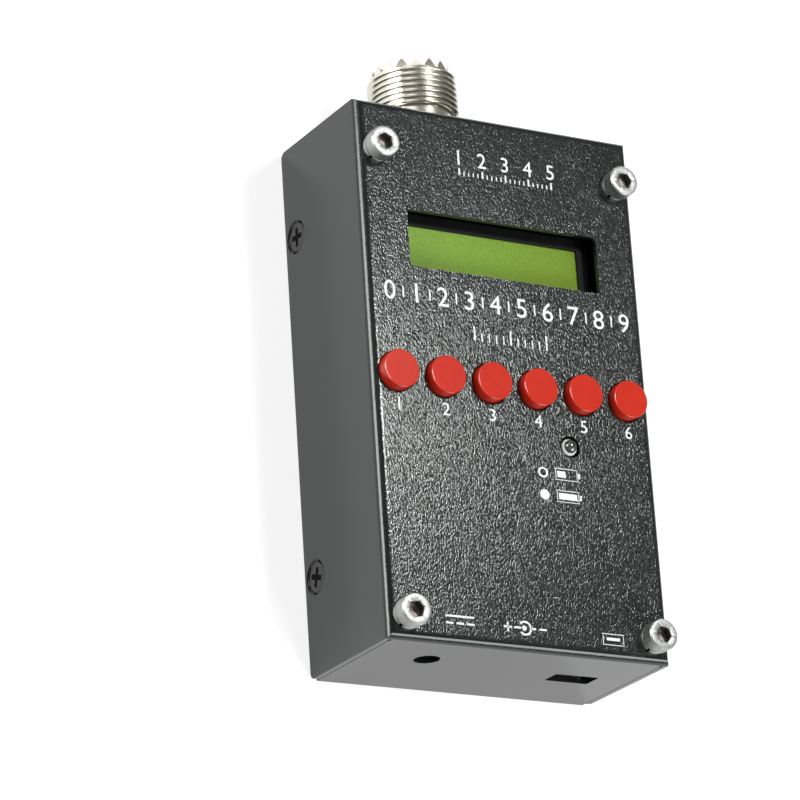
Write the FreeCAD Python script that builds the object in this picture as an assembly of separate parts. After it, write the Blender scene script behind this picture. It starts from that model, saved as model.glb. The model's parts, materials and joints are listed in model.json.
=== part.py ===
"""Pocket antenna analyzer in a folded sheet-metal case, lying on its back cover.

Frame: millimetres, origin at the middle of the back cover's outer face. +Z leaves through the face,
+Y runs toward the antenna socket, +X is to the right when the face is read.
"""
import FreeCAD, Part
import math
import os

Vec = FreeCAD.Vector
X_AXIS = Vec(1, 0, 0)
Y_AXIS = Vec(0, 1, 0)
Z_AXIS = Vec(0, 0, 1)

# How far a cutting shape runs past the surface that it opens.
PAST = 1.0

# --- Case: one folded sheet with the face and four walls, closed by a flanged back cover ---
CASE_WIDTH = 54.5
CASE_LENGTH = 95.2
CASE_DEPTH = 26.7
SHEET = 1.0
BEND_RADIUS = 1.5
SEAM = 0.15
CORNER_RELIEF_RADIUS = 0.35
CORNER_RELIEF_DROP = 0.3
WALL_CORNER_RADIUS = 1.2

HALF_WIDTH = CASE_WIDTH / 2
HALF_LENGTH = CASE_LENGTH / 2
INNER_HALF_WIDTH = HALF_WIDTH - SHEET
INNER_HALF_LENGTH = HALF_LENGTH - SHEET
FACE_UNDERSIDE = CASE_DEPTH - SHEET

COVER_BEND_RADIUS = 1.3
COVER_FLANGE_TOP = 7.4
COVER_FLANGE_HALF_LENGTH = 42.0
COVER_RELIEF = 0.4
COVER_HALF_WIDTH = INNER_HALF_WIDTH - SEAM
COVER_HALF_LENGTH = INNER_HALF_LENGTH - SEAM

# --- Cover screws: M3 countersunk, cross recess, two in each side wall ---
COVER_SCREW_Y = (-30.7, 30.7)
COVER_SCREW_Z = 3.6
COVER_SCREW_HEAD_RADIUS = 2.95
COVER_SCREW_SUNK = 0.15
COVER_SCREW_LENGTH = 6.0
COVER_TAP_DEPTH = 4.0
CROSS_RECESS = (3.3, 0.75, 1.0)
CONE_CLEARANCE = 0.08

# --- Face screws: M3 socket cap, each with a split spring washer, into a board pillar ---
FACE_SCREW_X = (-23.8, 23.8)
FACE_SCREW_Y = (38.55, -43.6)
FACE_SCREW_LENGTH = 8.0
SCREW_RADIUS = 1.48
SCREW_HOLE_RADIUS = 1.65
TAPPED_RADIUS = 1.5
CAP_HEAD_RADIUS = 2.75
CAP_HEAD_HEIGHT = 2.9
CAP_HEAD_CHAMFER = 0.3
HEX_ACROSS_FLATS = 2.5
HEX_DEPTH = 1.6
WASHER_RADIUS = 2.55
WASHER_BORE_RADIUS = 1.55
WASHER_THICKNESS = 0.7
WASHER_GAP = 0.5
WASHER_GAP_ANGLE = 235.0

# --- Boards, stacked under the face ---
BOARD_THICKNESS = 1.6
MAIN_BOARD_TOP = 11.8
MAIN_BOARD_HALF_WIDTH = 26.0
MAIN_BOARD_LOW_Y = -46.2
MAIN_BOARD_HIGH_Y = 34.0
BOARD_EAR_INNER_X = 21.2
BOARD_EAR_HIGH_Y = 41.5
PILLAR_RADIUS = 2.2
PILLAR_SHANK_RADIUS = 1.2
PILLAR_SHANK_PROUD = 0.6
PILLAR_TAP_DEPTH = 8.0
PILLAR_CHAMFER = 0.5
MAIN_BOARD_BOTTOM = MAIN_BOARD_TOP - BOARD_THICKNESS

# --- Display: window in the face, display module on a pin header ---
WINDOW_X = (-18.5, 19.1)
WINDOW_Y = (18.0, 28.35)
WINDOW_CORNER = 0.8
HEADER_HEIGHT = 2.54
HEADER_PITCH = 2.54
HEADER_PINS = 14
HEADER_WIDTH = 2.4
HEADER_PIN_WIDTH = 0.64
HEADER_PIN_PROUD = 0.8
HEADER_Y = 12.4
LCD_BOARD_BOTTOM = MAIN_BOARD_TOP + HEADER_HEIGHT
LCD_BOARD_TOP = LCD_BOARD_BOTTOM + BOARD_THICKNESS
LCD_BOARD_HALF_WIDTH = 25.0
LCD_BOARD_Y = (11.4, 34.0)
LCD_VIEW_X = (-19.8, 17.2)
LCD_VIEW_Y = (15.6, 27.0)
LCD_FRAME_LIP = 2.4
LCD_FRAME_TOP = 23.1
LCD_FRAME_SHEET = 0.4
LCD_GLASS_THICKNESS = 2.2
LCD_FIT = 0.1
BACKLIGHT_STANDOFF = 1.0

# --- Keys: six tall push switches with round caps through the face ---
KEY_COUNT = 6
KEY_PITCH = 9.0
KEY_ROW_Y = -1.4
KEY_CAP_RADIUS = 3.35
KEY_CAP_TOP = 28.4
KEY_CAP_BOTTOM = 22.4
KEY_CAP_ROUNDING = 0.5
KEY_HOLE_RADIUS = 3.6
PLUNGER_RADIUS = 1.7
PLUNGER_TOP = 25.0
PLUNGER_FOOT_RADIUS = 2.1
PLUNGER_FOOT_HEIGHT = 0.8
SWITCH_SIZE = 6.0
SWITCH_HEIGHT = 3.5
SWITCH_LID = 0.6
SWITCH_FLOOR = 1.4
PLUNGER_CLEARANCE = 0.1
PLUNGER_FOOT_CLEARANCE = 0.2
SWITCH_LEG_SPREAD = 4.5
SWITCH_LEG = (0.3, 0.7)
TAIL_PROUD = 1.2

# --- Charge lamp ---
LAMP_X = 10.4
LAMP_Y = -10.9
LAMP_RADIUS = 1.5
LAMP_HOLE_RADIUS = 1.95
LAMP_RIM_RADIUS = 1.8
LAMP_RIM_HEIGHT = 0.8
LAMP_TOP = 27.7
LAMP_BODY_HEIGHT = 5.2
LAMP_LEAD_WIDTH = 0.5
LAMP_LEAD_PITCH = 1.27

# --- Antenna socket: 5/8 inch, 24 threads per inch, held by a nut inside ---
SOCKET_X = -7.8
SOCKET_Z = 13.35
THREAD_RADIUS = 7.94
THREAD_PITCH = 25.4 / 24
THREAD_DEPTH = 0.55
THREAD_TURNS = 6
THREAD_CREST = (0.4, 0.6)
SOCKET_RIM_Y = 59.0
THREAD_START_Y = 52.4
NECK_RADIUS = 6.9
COLLAR_RADIUS = 7.8
COLLAR_THICKNESS = 1.4
MOUTH_RADIUS = 6.0
MOUTH_FLOOR_Y = 49.0
BUSH_RADIUS = 6.0
BUSH_BORE_RADIUS = 4.6
BUSH_END_Y = 40.0
BUSH_HOLE_RADIUS = 6.15
RIM_TEETH = 18
TOOTH_HEIGHT = 1.6
TOOTH_BASE = 1.9
TOOTH_RADII = (6.1, 7.35)
TOOTH_ROOT = 0.2
NUT_ACROSS_FLATS = 14.0
NUT_THICKNESS = 2.5
LOCK_WASHER_THICKNESS = 0.7
LOCK_WASHER_RADIUS = 8.0
INSULATOR_FRONT_Y = 53.4
INSULATOR_BACK_Y = 39.6
CONTACT_RADIUS = 2.8
CONTACT_BORE_RADIUS = 2.05
CONTACT_FRONT_Y = 55.8
CONTACT_BORE_DEPTH = 8.3
CONTACT_STEP_Y = 46.8
CONTACT_TAIL_RADIUS = 1.5
CONTACT_TAIL_Y = 35.6
CONTACT_CUP_DEPTH = 3.0
CONTACT_CUP_WALL = 0.5
CONTACT_SLOT_WIDTH = 0.5
CONTACT_SLOT_LENGTH = 2.2

# --- Jack end: DC socket behind a round hole, USB socket behind a slot ---
DC_X = -14.6
DC_Z = 16.8
DC_HOLE_RADIUS = 2.25
DC_BODY_WIDTH = 9.0
DC_BODY_LENGTH = 13.0
DC_BORE_RADIUS = 2.05
DC_BORE_DEPTH = 9.5
DC_PIN_RADIUS = 0.82
DC_PIN_SETBACK = 1.2
DC_PIN_ROUNDING = 0.5
USB_SLOT_X = (11.15, 19.55)
USB_SLOT_Z = (11.85, 15.85)
USB_SLOT_CORNER = 0.4
USB_SHELL_WIDTH = 7.7
USB_SHELL_HEIGHT = 3.9
USB_SHELL_LENGTH = 9.2
USB_SHELL_WALL = 0.35
USB_CHAMFER = 0.9
USB_STANDOFF = 0.05
USB_TONGUE = (5.6, 1.0, 6.6)
USB_TONGUE_SETBACK = 1.0
JACK_GAP = 0.15

# --- Power switch: rocker beside the antenna socket ---
ROCKER_X = 14.0
ROCKER_Z = 13.35
BEZEL_SIZE = (15.0, 10.4)
BEZEL_HEIGHT = 1.6
BEZEL_ROUNDING = 0.5
SWITCH_BODY_SIZE = (13.0, 8.4)
SWITCH_OPENING = (12.0, 7.2)
SWITCH_CUTOUT_CLEARANCE = 0.1
SWITCH_CAVITY_FLOOR_Y = 42.0
SWITCH_BODY_END_Y = 39.5
SWITCH_BODY_OVERLAP = 0.5
ROCKER_PIVOT_Y = 48.0
ROCKER_END_RADIUS = 5.75
ROCKER_END_ANGLE = -15.0
ROCKER_WING_RISE = 2.2
ROCKER_DIP = 1.3
ROCKER_HUB_DROP = 4.2
ROCKER_HUB_HALF_WIDTH = 1.6
ROCKER_WIDTH = 6.8
ROCKER_TILT = 8.0
ROCKER_PIN_RADIUS = 0.8
ROCKER_PIN_CLEARANCE = 0.05
ROCKER_PIN_REACH = 3.95
BLADE_OFFSETS = (-3.5, 3.5)
BLADE_SIZE = (0.6, 2.8)
BLADE_END_Y = 35.4

# --- Cell under the main board ---
PAD_THICKNESS = 0.8
PAD_MARGIN = (4.0, 6.0)
CELL_X = (-21.0, 21.0)
CELL_Y = (-24.0, 32.0)
CELL_THICKNESS = 6.4
CELL_ROUNDING = 1.6
CELL_TAB_HALF_WIDTH = 12.0
CELL_TAB_LENGTH = 2.5
CELL_TAB_INSET = 1.2

# --- Wires, and the plug and header of the cell ---
WIRE_RADIUS = 0.5
BEND_SHARE = 0.45
LEAD_SPACING = 2.0
LEAD_X = 4.0
LEAD_RUN = 4.5
PLUG_LEAD_RUN = 5.0
PLUG_LEAD_X = 9.0
PLUG_X = 10.0
PLUG_Y = -40.0
PLUG_SIZE = (5.8, 3.6, 4.6)
PLUG_HEADER_SIZE = (7.2, 2.4, 5.4)
PLUG_WIRE_Z = 7.4
BOARD_WIRE_Z = MAIN_BOARD_TOP + WIRE_RADIUS + 0.02
BOARD_WIRE_LAND_Y = 29.6
BOARD_WIRE_END_Y = 26.5

# --- Parts on the main board: middle x and y, then body size ---
MICROCONTROLLER = ((-3.0, -16.0), (10.0, 10.0, 1.8))
SYNTHESIZER_CHIP = ((-17.0, -12.5), (5.3, 10.2, 1.8))
AMPLIFIER_CHIP = ((5.0, -27.0), (3.9, 4.9, 1.5))
CHARGER_CHIP = ((17.0, -30.0), (3.9, 4.9, 1.5))
CLOCK_CAN = ((-16.5, -25.5), (13.0, 13.0, 5.1))
CLOCK_CAN_ROUNDING = 1.5
CHOKE = ((19.5, -14.0), 4.0, 2.0, 3.0)
CHOKE_ROUNDING = 0.6
CHIP_STANDOFF = 0.15
CHIP_LEG = (0.35, 1.0, 0.2)
SMALL_PART_SIZE = (2.0, 1.25, 0.6)
SMALL_PART_ROWS_Y = (5.6, 8.4)
SMALL_PART_COUNT = 12
SMALL_PART_PITCH = 4.0


def block(low, high):
    """Box between two opposite corners."""
    return Part.makeBox(high[0] - low[0], high[1] - low[1], high[2] - low[2], Vec(*low))


def centred_block(centre, size):
    """Box of the given size about its middle."""
    low = [c - s / 2 for c, s in zip(centre, size)]
    high = [c + s / 2 for c, s in zip(centre, size)]
    return block(low, high)


def rod(radius, start, axis, length):
    """Solid cylinder from a start point along an axis."""
    return Part.makeCylinder(radius, length, Vec(*start), axis)


def ring(outer, inner, start, axis, length):
    """Tube from a start point along an axis."""
    return rod(outer, start, axis, length).cut(rod(inner, start, axis, length))


def prism(points, direction):
    """Straight-sided outline extruded along a direction."""
    corners = [Vec(*p) for p in points]
    return Part.Face(Part.makePolygon(corners + corners[:1])).extrude(direction)


def hex_prism(across_flats, centre, axis, length):
    """Hexagonal bar whose first corner lies along X."""
    reach = across_flats / math.sqrt(3)
    side = axis.cross(X_AXIS)
    corners = []
    for k in range(6):
        angle = math.radians(60 * k)
        corners.append(Vec(*centre) + X_AXIS * (reach * math.cos(angle)) + side * (reach * math.sin(angle)))
    return prism(corners, axis * length)


def group(shapes):
    """Separate solids kept together in one node."""
    return Part.makeCompound(shapes)


def fused(shapes):
    """One solid from shapes that touch or overlap."""
    return shapes[0].multiFuse(shapes[1:]).removeSplitter()


def edges_at(shape, axis, value):
    """Edges of a shape whose middle lies at a value along an axis."""
    return [e for e in shape.Edges if abs(e.CenterOfMass.dot(axis) - value) < 0.01]


def face_screw_places():
    """Middle of each face screw, as (x, y)."""
    return [(x, y) for y in FACE_SCREW_Y for x in FACE_SCREW_X]


def key_x(index):
    """Middle of a key across the row."""
    return (index - (KEY_COUNT - 1) / 2) * KEY_PITCH


# --- Case ---

def rounded_profile(half_span, bottom, top, radius, place):
    """Outline with two rounded top corners; place maps (across, up) to a point in space."""
    corner = radius * (1 - math.sqrt(0.5))
    left, right = -half_span, half_span
    points = {
        "low_left": place(left, bottom),
        "left": place(left, top - radius),
        "left_arc": place(left + corner, top - corner),
        "top_left": place(left + radius, top),
        "top_right": place(right - radius, top),
        "right_arc": place(right - corner, top - corner),
        "right": place(right, top - radius),
        "low_right": place(right, bottom),
    }
    edges = [
        Part.LineSegment(points["low_left"], points["left"]),
        Part.Arc(points["left"], points["left_arc"], points["top_left"]),
        Part.LineSegment(points["top_left"], points["top_right"]),
        Part.Arc(points["top_right"], points["right_arc"], points["right"]),
        Part.LineSegment(points["right"], points["low_right"]),
        Part.LineSegment(points["low_right"], points["low_left"]),
    ]
    return Part.Face(Part.Wire([e.toShape() for e in edges]))


def folded_block(half_width, half_length, bottom, top, radius):
    """Block whose four top edges are bends that meet in mitres at the corners."""
    across = rounded_profile(half_width, bottom, top, radius, lambda u, v: Vec(u, -half_length, v))
    along = rounded_profile(half_length, bottom, top, radius, lambda u, v: Vec(-half_width, u, v))
    return across.extrude(Y_AXIS * (2 * half_length)).common(along.extrude(X_AXIS * (2 * half_width)))


def window_cutter(x_span, y_span, z_span, corner):
    """Rounded rectangular hole along Z."""
    shape = block((x_span[0], y_span[0], z_span[0]), (x_span[1], y_span[1], z_span[1]))
    middle = (z_span[0] + z_span[1]) / 2
    return shape.makeFillet(corner, edges_at(shape, Z_AXIS, middle))


def cover_screw_cone(side, y, growth):
    """Countersink or head cone of a cover screw, grown by a clearance."""
    radius = COVER_SCREW_HEAD_RADIUS + growth
    depth = radius - SCREW_RADIUS
    start = Vec(side * (HALF_WIDTH - COVER_SCREW_SUNK), y, COVER_SCREW_Z)
    inward = X_AXIS * -side
    return Part.makeCone(radius, SCREW_RADIUS, depth, start, inward)


def cover_screw_hole(side, y):
    """Countersunk hole for a cover screw, open to the outside of the wall."""
    start = (side * (HALF_WIDTH + PAST), y, COVER_SCREW_Z)
    outside = rod(COVER_SCREW_HEAD_RADIUS + CONE_CLEARANCE, start, X_AXIS * -side, PAST + COVER_SCREW_SUNK)
    return outside.fuse(cover_screw_cone(side, y, CONE_CLEARANCE))


def case_corner_cuts():
    """Seams between the end walls and side walls, with a relief hole where each seam stops."""
    cuts = []
    seam_top = CASE_DEPTH - BEND_RADIUS - CORNER_RELIEF_DROP
    for sx in (-1, 1):
        for sy in (-1, 1):
            x = sorted((sx * INNER_HALF_WIDTH, sx * (INNER_HALF_WIDTH - SEAM)))
            y = sorted((sy * (INNER_HALF_LENGTH - SEAM), sy * (HALF_LENGTH + SEAM)))
            cuts.append(block((x[0], y[0], -PAST), (x[1], y[1], seam_top)))
            cuts.append(rod(CORNER_RELIEF_RADIUS, (sum(x) / 2, y[0], seam_top), Y_AXIS, y[1] - y[0]))
            cuts.append(wall_corner_cut(sx, sy))
    return cuts


def wall_corner_cut(sx, sy):
    """Takes the rear corner of a side wall off to a small radius."""
    r = WALL_CORNER_RADIUS
    x_low = min(sx * INNER_HALF_WIDTH, sx * (HALF_WIDTH + PAST))
    width = SHEET + PAST
    y_low = min(sy * HALF_LENGTH, sy * (HALF_LENGTH - r))
    corner = Part.makeBox(width, r, r, Vec(x_low, y_low, 0))
    return corner.cut(rod(r, (x_low, sy * (HALF_LENGTH - r), r), X_AXIS, width))


def front_case():
    """Face and four walls, folded from one sheet."""
    shell = folded_block(HALF_WIDTH, HALF_LENGTH, 0, CASE_DEPTH, BEND_RADIUS)
    inside = folded_block(INNER_HALF_WIDTH, INNER_HALF_LENGTH, -PAST, FACE_UNDERSIDE, BEND_RADIUS - SHEET)
    shell = shell.cut(inside)
    through = SHEET + 2 * PAST

    face_z = (FACE_UNDERSIDE - PAST, CASE_DEPTH + PAST)
    cuts = [window_cutter(WINDOW_X, WINDOW_Y, face_z, WINDOW_CORNER)]
    for k in range(KEY_COUNT):
        cuts.append(rod(KEY_HOLE_RADIUS, (key_x(k), KEY_ROW_Y, face_z[0]), Z_AXIS, through))
    for x, y in face_screw_places():
        cuts.append(rod(SCREW_HOLE_RADIUS, (x, y, face_z[0]), Z_AXIS, through))
    cuts.append(rod(LAMP_HOLE_RADIUS, (LAMP_X, LAMP_Y, face_z[0]), Z_AXIS, through))

    jack_wall_y = (-HALF_LENGTH - PAST, -INNER_HALF_LENGTH + PAST)
    cuts.append(rod(DC_HOLE_RADIUS, (DC_X, jack_wall_y[0], DC_Z), Y_AXIS, through))
    slot = block((USB_SLOT_X[0], jack_wall_y[0], USB_SLOT_Z[0]),
                 (USB_SLOT_X[1], jack_wall_y[1], USB_SLOT_Z[1]))
    cuts.append(slot.makeFillet(USB_SLOT_CORNER, edges_at(slot, Y_AXIS, sum(jack_wall_y) / 2)))

    socket_wall_y = INNER_HALF_LENGTH - PAST
    cuts.append(rod(BUSH_HOLE_RADIUS, (SOCKET_X, socket_wall_y, SOCKET_Z), Y_AXIS, through))
    cutout = [size + 2 * SWITCH_CUTOUT_CLEARANCE for size in SWITCH_BODY_SIZE]
    cuts.append(switch_block(cutout, socket_wall_y, socket_wall_y + through))
    cuts += [cover_screw_hole(side, y) for side in (-1, 1) for y in COVER_SCREW_Y]
    cuts += case_corner_cuts()
    return shell.cut(cuts)


def back_cover():
    """Flat plate with a flange up the inside of each side wall."""
    flip = COVER_FLANGE_TOP
    outer = rounded_profile(COVER_HALF_WIDTH, 0, flip, COVER_BEND_RADIUS,
                            lambda u, v: Vec(u, -COVER_FLANGE_HALF_LENGTH, flip - v))
    inner = rounded_profile(COVER_HALF_WIDTH - SHEET, -PAST, flip - SHEET, COVER_BEND_RADIUS - SHEET,
                            lambda u, v: Vec(u, -COVER_FLANGE_HALF_LENGTH, flip - v))
    run = Y_AXIS * (2 * COVER_FLANGE_HALF_LENGTH)
    channel = outer.extrude(run).cut(inner.extrude(run))
    waist = COVER_HALF_WIDTH - COVER_BEND_RADIUS
    plate = block((-waist, -COVER_HALF_LENGTH, 0), (waist, COVER_HALF_LENGTH, SHEET))
    parts = [channel, plate]
    for sy in (-1, 1):
        y = sorted((sy * (COVER_FLANGE_HALF_LENGTH + COVER_RELIEF), sy * COVER_HALF_LENGTH))
        parts.append(block((-COVER_HALF_WIDTH, y[0], 0), (COVER_HALF_WIDTH, y[1], SHEET)))
    cover = fused(parts)
    cuts = []
    for side in (-1, 1):
        for y in COVER_SCREW_Y:
            start = (side * HALF_WIDTH, y, COVER_SCREW_Z)
            cuts.append(cover_screw_cone(side, y, CONE_CLEARANCE))
            cuts.append(rod(TAPPED_RADIUS, start, X_AXIS * -side, COVER_TAP_DEPTH))
    return cover.cut(cuts)


def cover_screw(side, y):
    """Countersunk screw with a cross recess, pointing inward from a side wall."""
    start_x = side * (HALF_WIDTH - COVER_SCREW_SUNK)
    head = cover_screw_cone(side, y, 0)
    shank = rod(SCREW_RADIUS, (start_x, y, COVER_SCREW_Z), X_AXIS * -side, COVER_SCREW_LENGTH)
    length, width, depth = CROSS_RECESS
    screw = fused([head, shank])
    for size in ((2 * depth, length, width), (2 * depth, width, length)):
        screw = screw.cut(centred_block((start_x, y, COVER_SCREW_Z), size))
    return screw


def cover_screws():
    return group([cover_screw(side, y) for side in (-1, 1) for y in COVER_SCREW_Y])


def face_screw(x, y):
    """Socket cap screw through the face."""
    seat = CASE_DEPTH + WASHER_THICKNESS
    head = rod(CAP_HEAD_RADIUS, (x, y, seat), Z_AXIS, CAP_HEAD_HEIGHT)
    top = seat + CAP_HEAD_HEIGHT
    head = head.makeChamfer(CAP_HEAD_CHAMFER, edges_at(head, Z_AXIS, top))
    shank = rod(SCREW_RADIUS, (x, y, seat - FACE_SCREW_LENGTH), Z_AXIS, FACE_SCREW_LENGTH)
    socket = hex_prism(HEX_ACROSS_FLATS, (x, y, top - HEX_DEPTH), Z_AXIS, HEX_DEPTH + PAST)
    return fused([head, shank]).cut(socket)


def face_screws():
    return group([face_screw(x, y) for x, y in face_screw_places()])


def spring_washer(x, y):
    """Split ring under a face screw's head."""
    washer = ring(WASHER_RADIUS, WASHER_BORE_RADIUS, (x, y, CASE_DEPTH), Z_AXIS, WASHER_THICKNESS)
    gap_end = (x + WASHER_RADIUS + PAST, y + WASHER_GAP / 2, CASE_DEPTH + WASHER_THICKNESS + PAST)
    gap = block((x, y - WASHER_GAP / 2, CASE_DEPTH - PAST), gap_end)
    gap.rotate(Vec(x, y, CASE_DEPTH), Z_AXIS, WASHER_GAP_ANGLE)
    return washer.cut(gap)


def spring_washers():
    return group([spring_washer(x, y) for x, y in face_screw_places()])


# --- Boards ---

def board_pillar(x, y):
    """Round brass pillar, soldered into the main board and tapped from the face end."""
    body = rod(PILLAR_RADIUS, (x, y, MAIN_BOARD_TOP), Z_AXIS, FACE_UNDERSIDE - MAIN_BOARD_TOP)
    body = body.makeChamfer(PILLAR_CHAMFER, edges_at(body, Z_AXIS, FACE_UNDERSIDE))
    shank_length = BOARD_THICKNESS + PILLAR_SHANK_PROUD
    shank = rod(PILLAR_SHANK_RADIUS, (x, y, MAIN_BOARD_TOP - shank_length), Z_AXIS, shank_length)
    tapping = rod(TAPPED_RADIUS, (x, y, FACE_UNDERSIDE - PILLAR_TAP_DEPTH), Z_AXIS, PILLAR_TAP_DEPTH + PAST)
    return fused([body, shank]).cut(tapping)


def board_pillars():
    return group([board_pillar(x, y) for x, y in face_screw_places()])


def main_board():
    """Board with two ears that reach past the parts on the socket end."""
    board = block((-MAIN_BOARD_HALF_WIDTH, MAIN_BOARD_LOW_Y, MAIN_BOARD_BOTTOM),
                  (MAIN_BOARD_HALF_WIDTH, BOARD_EAR_HIGH_Y, MAIN_BOARD_TOP))
    below = MAIN_BOARD_BOTTOM - PAST
    notch = block((-BOARD_EAR_INNER_X, MAIN_BOARD_HIGH_Y, below),
                  (BOARD_EAR_INNER_X, BOARD_EAR_HIGH_Y + PAST, MAIN_BOARD_TOP + PAST))
    cuts = [notch] + switch_leg_solids() + header_pin_solids()
    for x, y in face_screw_places():
        cuts.append(rod(PILLAR_SHANK_RADIUS, (x, y, below), Z_AXIS, BOARD_THICKNESS + 2 * PAST))
    return board.cut(cuts)


def header_pin_solids():
    """Square pins that join the display board to the main board."""
    pins = []
    for k in range(HEADER_PINS):
        x = (k - (HEADER_PINS - 1) / 2) * HEADER_PITCH
        low = MAIN_BOARD_BOTTOM - TAIL_PROUD
        high = LCD_BOARD_TOP + HEADER_PIN_PROUD
        size = (HEADER_PIN_WIDTH, HEADER_PIN_WIDTH, high - low)
        pins.append(centred_block((x, HEADER_Y, (low + high) / 2), size))
    return pins


def lcd_board():
    board = block((-LCD_BOARD_HALF_WIDTH, LCD_BOARD_Y[0], LCD_BOARD_BOTTOM),
                  (LCD_BOARD_HALF_WIDTH, LCD_BOARD_Y[1], LCD_BOARD_TOP))
    return board.cut(header_pin_solids())


def lcd_header():
    """Plastic strip of the display header, with its pins."""
    size = (HEADER_PINS * HEADER_PITCH, HEADER_WIDTH, HEADER_HEIGHT)
    strip = centred_block((0, HEADER_Y, (MAIN_BOARD_TOP + LCD_BOARD_BOTTOM) / 2), size)
    return fused([strip] + header_pin_solids())


def lcd_frame():
    """Folded metal frame that clips the glass and backlight to the display board."""
    lip = LCD_FRAME_LIP
    low = (LCD_VIEW_X[0] - lip, LCD_VIEW_Y[0] - lip, LCD_BOARD_TOP)
    high = (LCD_VIEW_X[1] + lip, LCD_VIEW_Y[1] + lip, LCD_FRAME_TOP)
    t = LCD_FRAME_SHEET
    shell = block(low, high)
    shell = shell.makeFillet(t, edges_at(shell, Z_AXIS, LCD_FRAME_TOP))
    inside = block((low[0] + t, low[1] + t, low[2] - PAST), (high[0] - t, high[1] - t, high[2] - t))
    view = block((LCD_VIEW_X[0], LCD_VIEW_Y[0], low[2]), (LCD_VIEW_X[1], LCD_VIEW_Y[1], high[2] + PAST))
    return shell.cut([inside, view])


def lcd_inside(z_low, z_high):
    """Slab that fits inside the display frame."""
    margin = LCD_FRAME_LIP - LCD_FRAME_SHEET - LCD_FIT
    return block((LCD_VIEW_X[0] - margin, LCD_VIEW_Y[0] - margin, z_low),
                 (LCD_VIEW_X[1] + margin, LCD_VIEW_Y[1] + margin, z_high))


def lcd_glass():
    top = LCD_FRAME_TOP - LCD_FRAME_SHEET
    return lcd_inside(top - LCD_GLASS_THICKNESS, top)


def lcd_backlight():
    top = LCD_FRAME_TOP - LCD_FRAME_SHEET - LCD_GLASS_THICKNESS
    slab = lcd_inside(LCD_BOARD_TOP + BACKLIGHT_STANDOFF, top)
    return slab.cut(header_pin_solids())


# --- Keys ---

def key_cap(index):
    """Round cap with a blind hole that presses onto the plunger."""
    x = key_x(index)
    cap = rod(KEY_CAP_RADIUS, (x, KEY_ROW_Y, KEY_CAP_BOTTOM), Z_AXIS, KEY_CAP_TOP - KEY_CAP_BOTTOM)
    cap = cap.makeFillet(KEY_CAP_ROUNDING, edges_at(cap, Z_AXIS, KEY_CAP_TOP))
    bottom = KEY_CAP_BOTTOM - PAST
    return cap.cut(rod(PLUNGER_RADIUS, (x, KEY_ROW_Y, bottom), Z_AXIS, PLUNGER_TOP - bottom))


def key_plunger(index):
    """Tall stem with a wider foot held under the switch lid."""
    x = key_x(index)
    foot_top = MAIN_BOARD_TOP + SWITCH_HEIGHT - SWITCH_LID - PLUNGER_CLEARANCE
    foot_start = (x, KEY_ROW_Y, foot_top - PLUNGER_FOOT_HEIGHT)
    foot = rod(PLUNGER_FOOT_RADIUS, foot_start, Z_AXIS, PLUNGER_FOOT_HEIGHT)
    stem = rod(PLUNGER_RADIUS, (x, KEY_ROW_Y, foot_top), Z_AXIS, PLUNGER_TOP - foot_top)
    return fused([foot, stem])


def switch_body(index):
    """Push switch housing: a square box with a chamber for the plunger's foot."""
    x = key_x(index)
    middle = (x, KEY_ROW_Y, MAIN_BOARD_TOP + SWITCH_HEIGHT / 2)
    body = centred_block(middle, (SWITCH_SIZE, SWITCH_SIZE, SWITCH_HEIGHT))
    floor = (x, KEY_ROW_Y, MAIN_BOARD_TOP + SWITCH_FLOOR)
    chamber_height = SWITCH_HEIGHT - SWITCH_LID - SWITCH_FLOOR
    chamber = rod(PLUNGER_FOOT_RADIUS + PLUNGER_FOOT_CLEARANCE, floor, Z_AXIS, chamber_height)
    throat = rod(PLUNGER_RADIUS + PLUNGER_CLEARANCE, floor, Z_AXIS, SWITCH_HEIGHT)
    return body.cut([chamber, throat])


def switch_leg_solids():
    """Four flat legs for each push switch, beside its body and down through the board."""
    legs = []
    thickness, width = SWITCH_LEG
    low = MAIN_BOARD_BOTTOM - TAIL_PROUD
    high = MAIN_BOARD_TOP + SWITCH_HEIGHT / 2
    for k in range(KEY_COUNT):
        for sx in (-1, 1):
            for sy in (-1, 1):
                x = key_x(k) + sx * (SWITCH_SIZE + thickness) / 2
                y = KEY_ROW_Y + sy * SWITCH_LEG_SPREAD / 2
                legs.append(centred_block((x, y, (low + high) / 2), (thickness, width, high - low)))
    return legs


def key_switch_bodies():
    return group([switch_body(k) for k in range(KEY_COUNT)])


def key_switch_legs():
    return group(switch_leg_solids())


# --- Charge lamp ---

def charge_lamp():
    """Clear domed lamp on two long leads."""
    dome_base = LAMP_TOP - LAMP_RADIUS
    low = LAMP_TOP - LAMP_BODY_HEIGHT
    dome = Part.makeSphere(LAMP_RADIUS, Vec(LAMP_X, LAMP_Y, dome_base))
    body = rod(LAMP_RADIUS, (LAMP_X, LAMP_Y, low), Z_AXIS, dome_base - low)
    rim = rod(LAMP_RIM_RADIUS, (LAMP_X, LAMP_Y, low), Z_AXIS, LAMP_RIM_HEIGHT)
    return fused([dome, body, rim])


def charge_lamp_leads():
    low = MAIN_BOARD_TOP
    high = LAMP_TOP - LAMP_BODY_HEIGHT
    size = (LAMP_LEAD_WIDTH, LAMP_LEAD_WIDTH, high - low)
    return group([centred_block((LAMP_X + k * LAMP_LEAD_PITCH, LAMP_Y, (low + high) / 2), size)
                  for k in (-1, 0, 1)])


# --- Antenna socket ---

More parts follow.
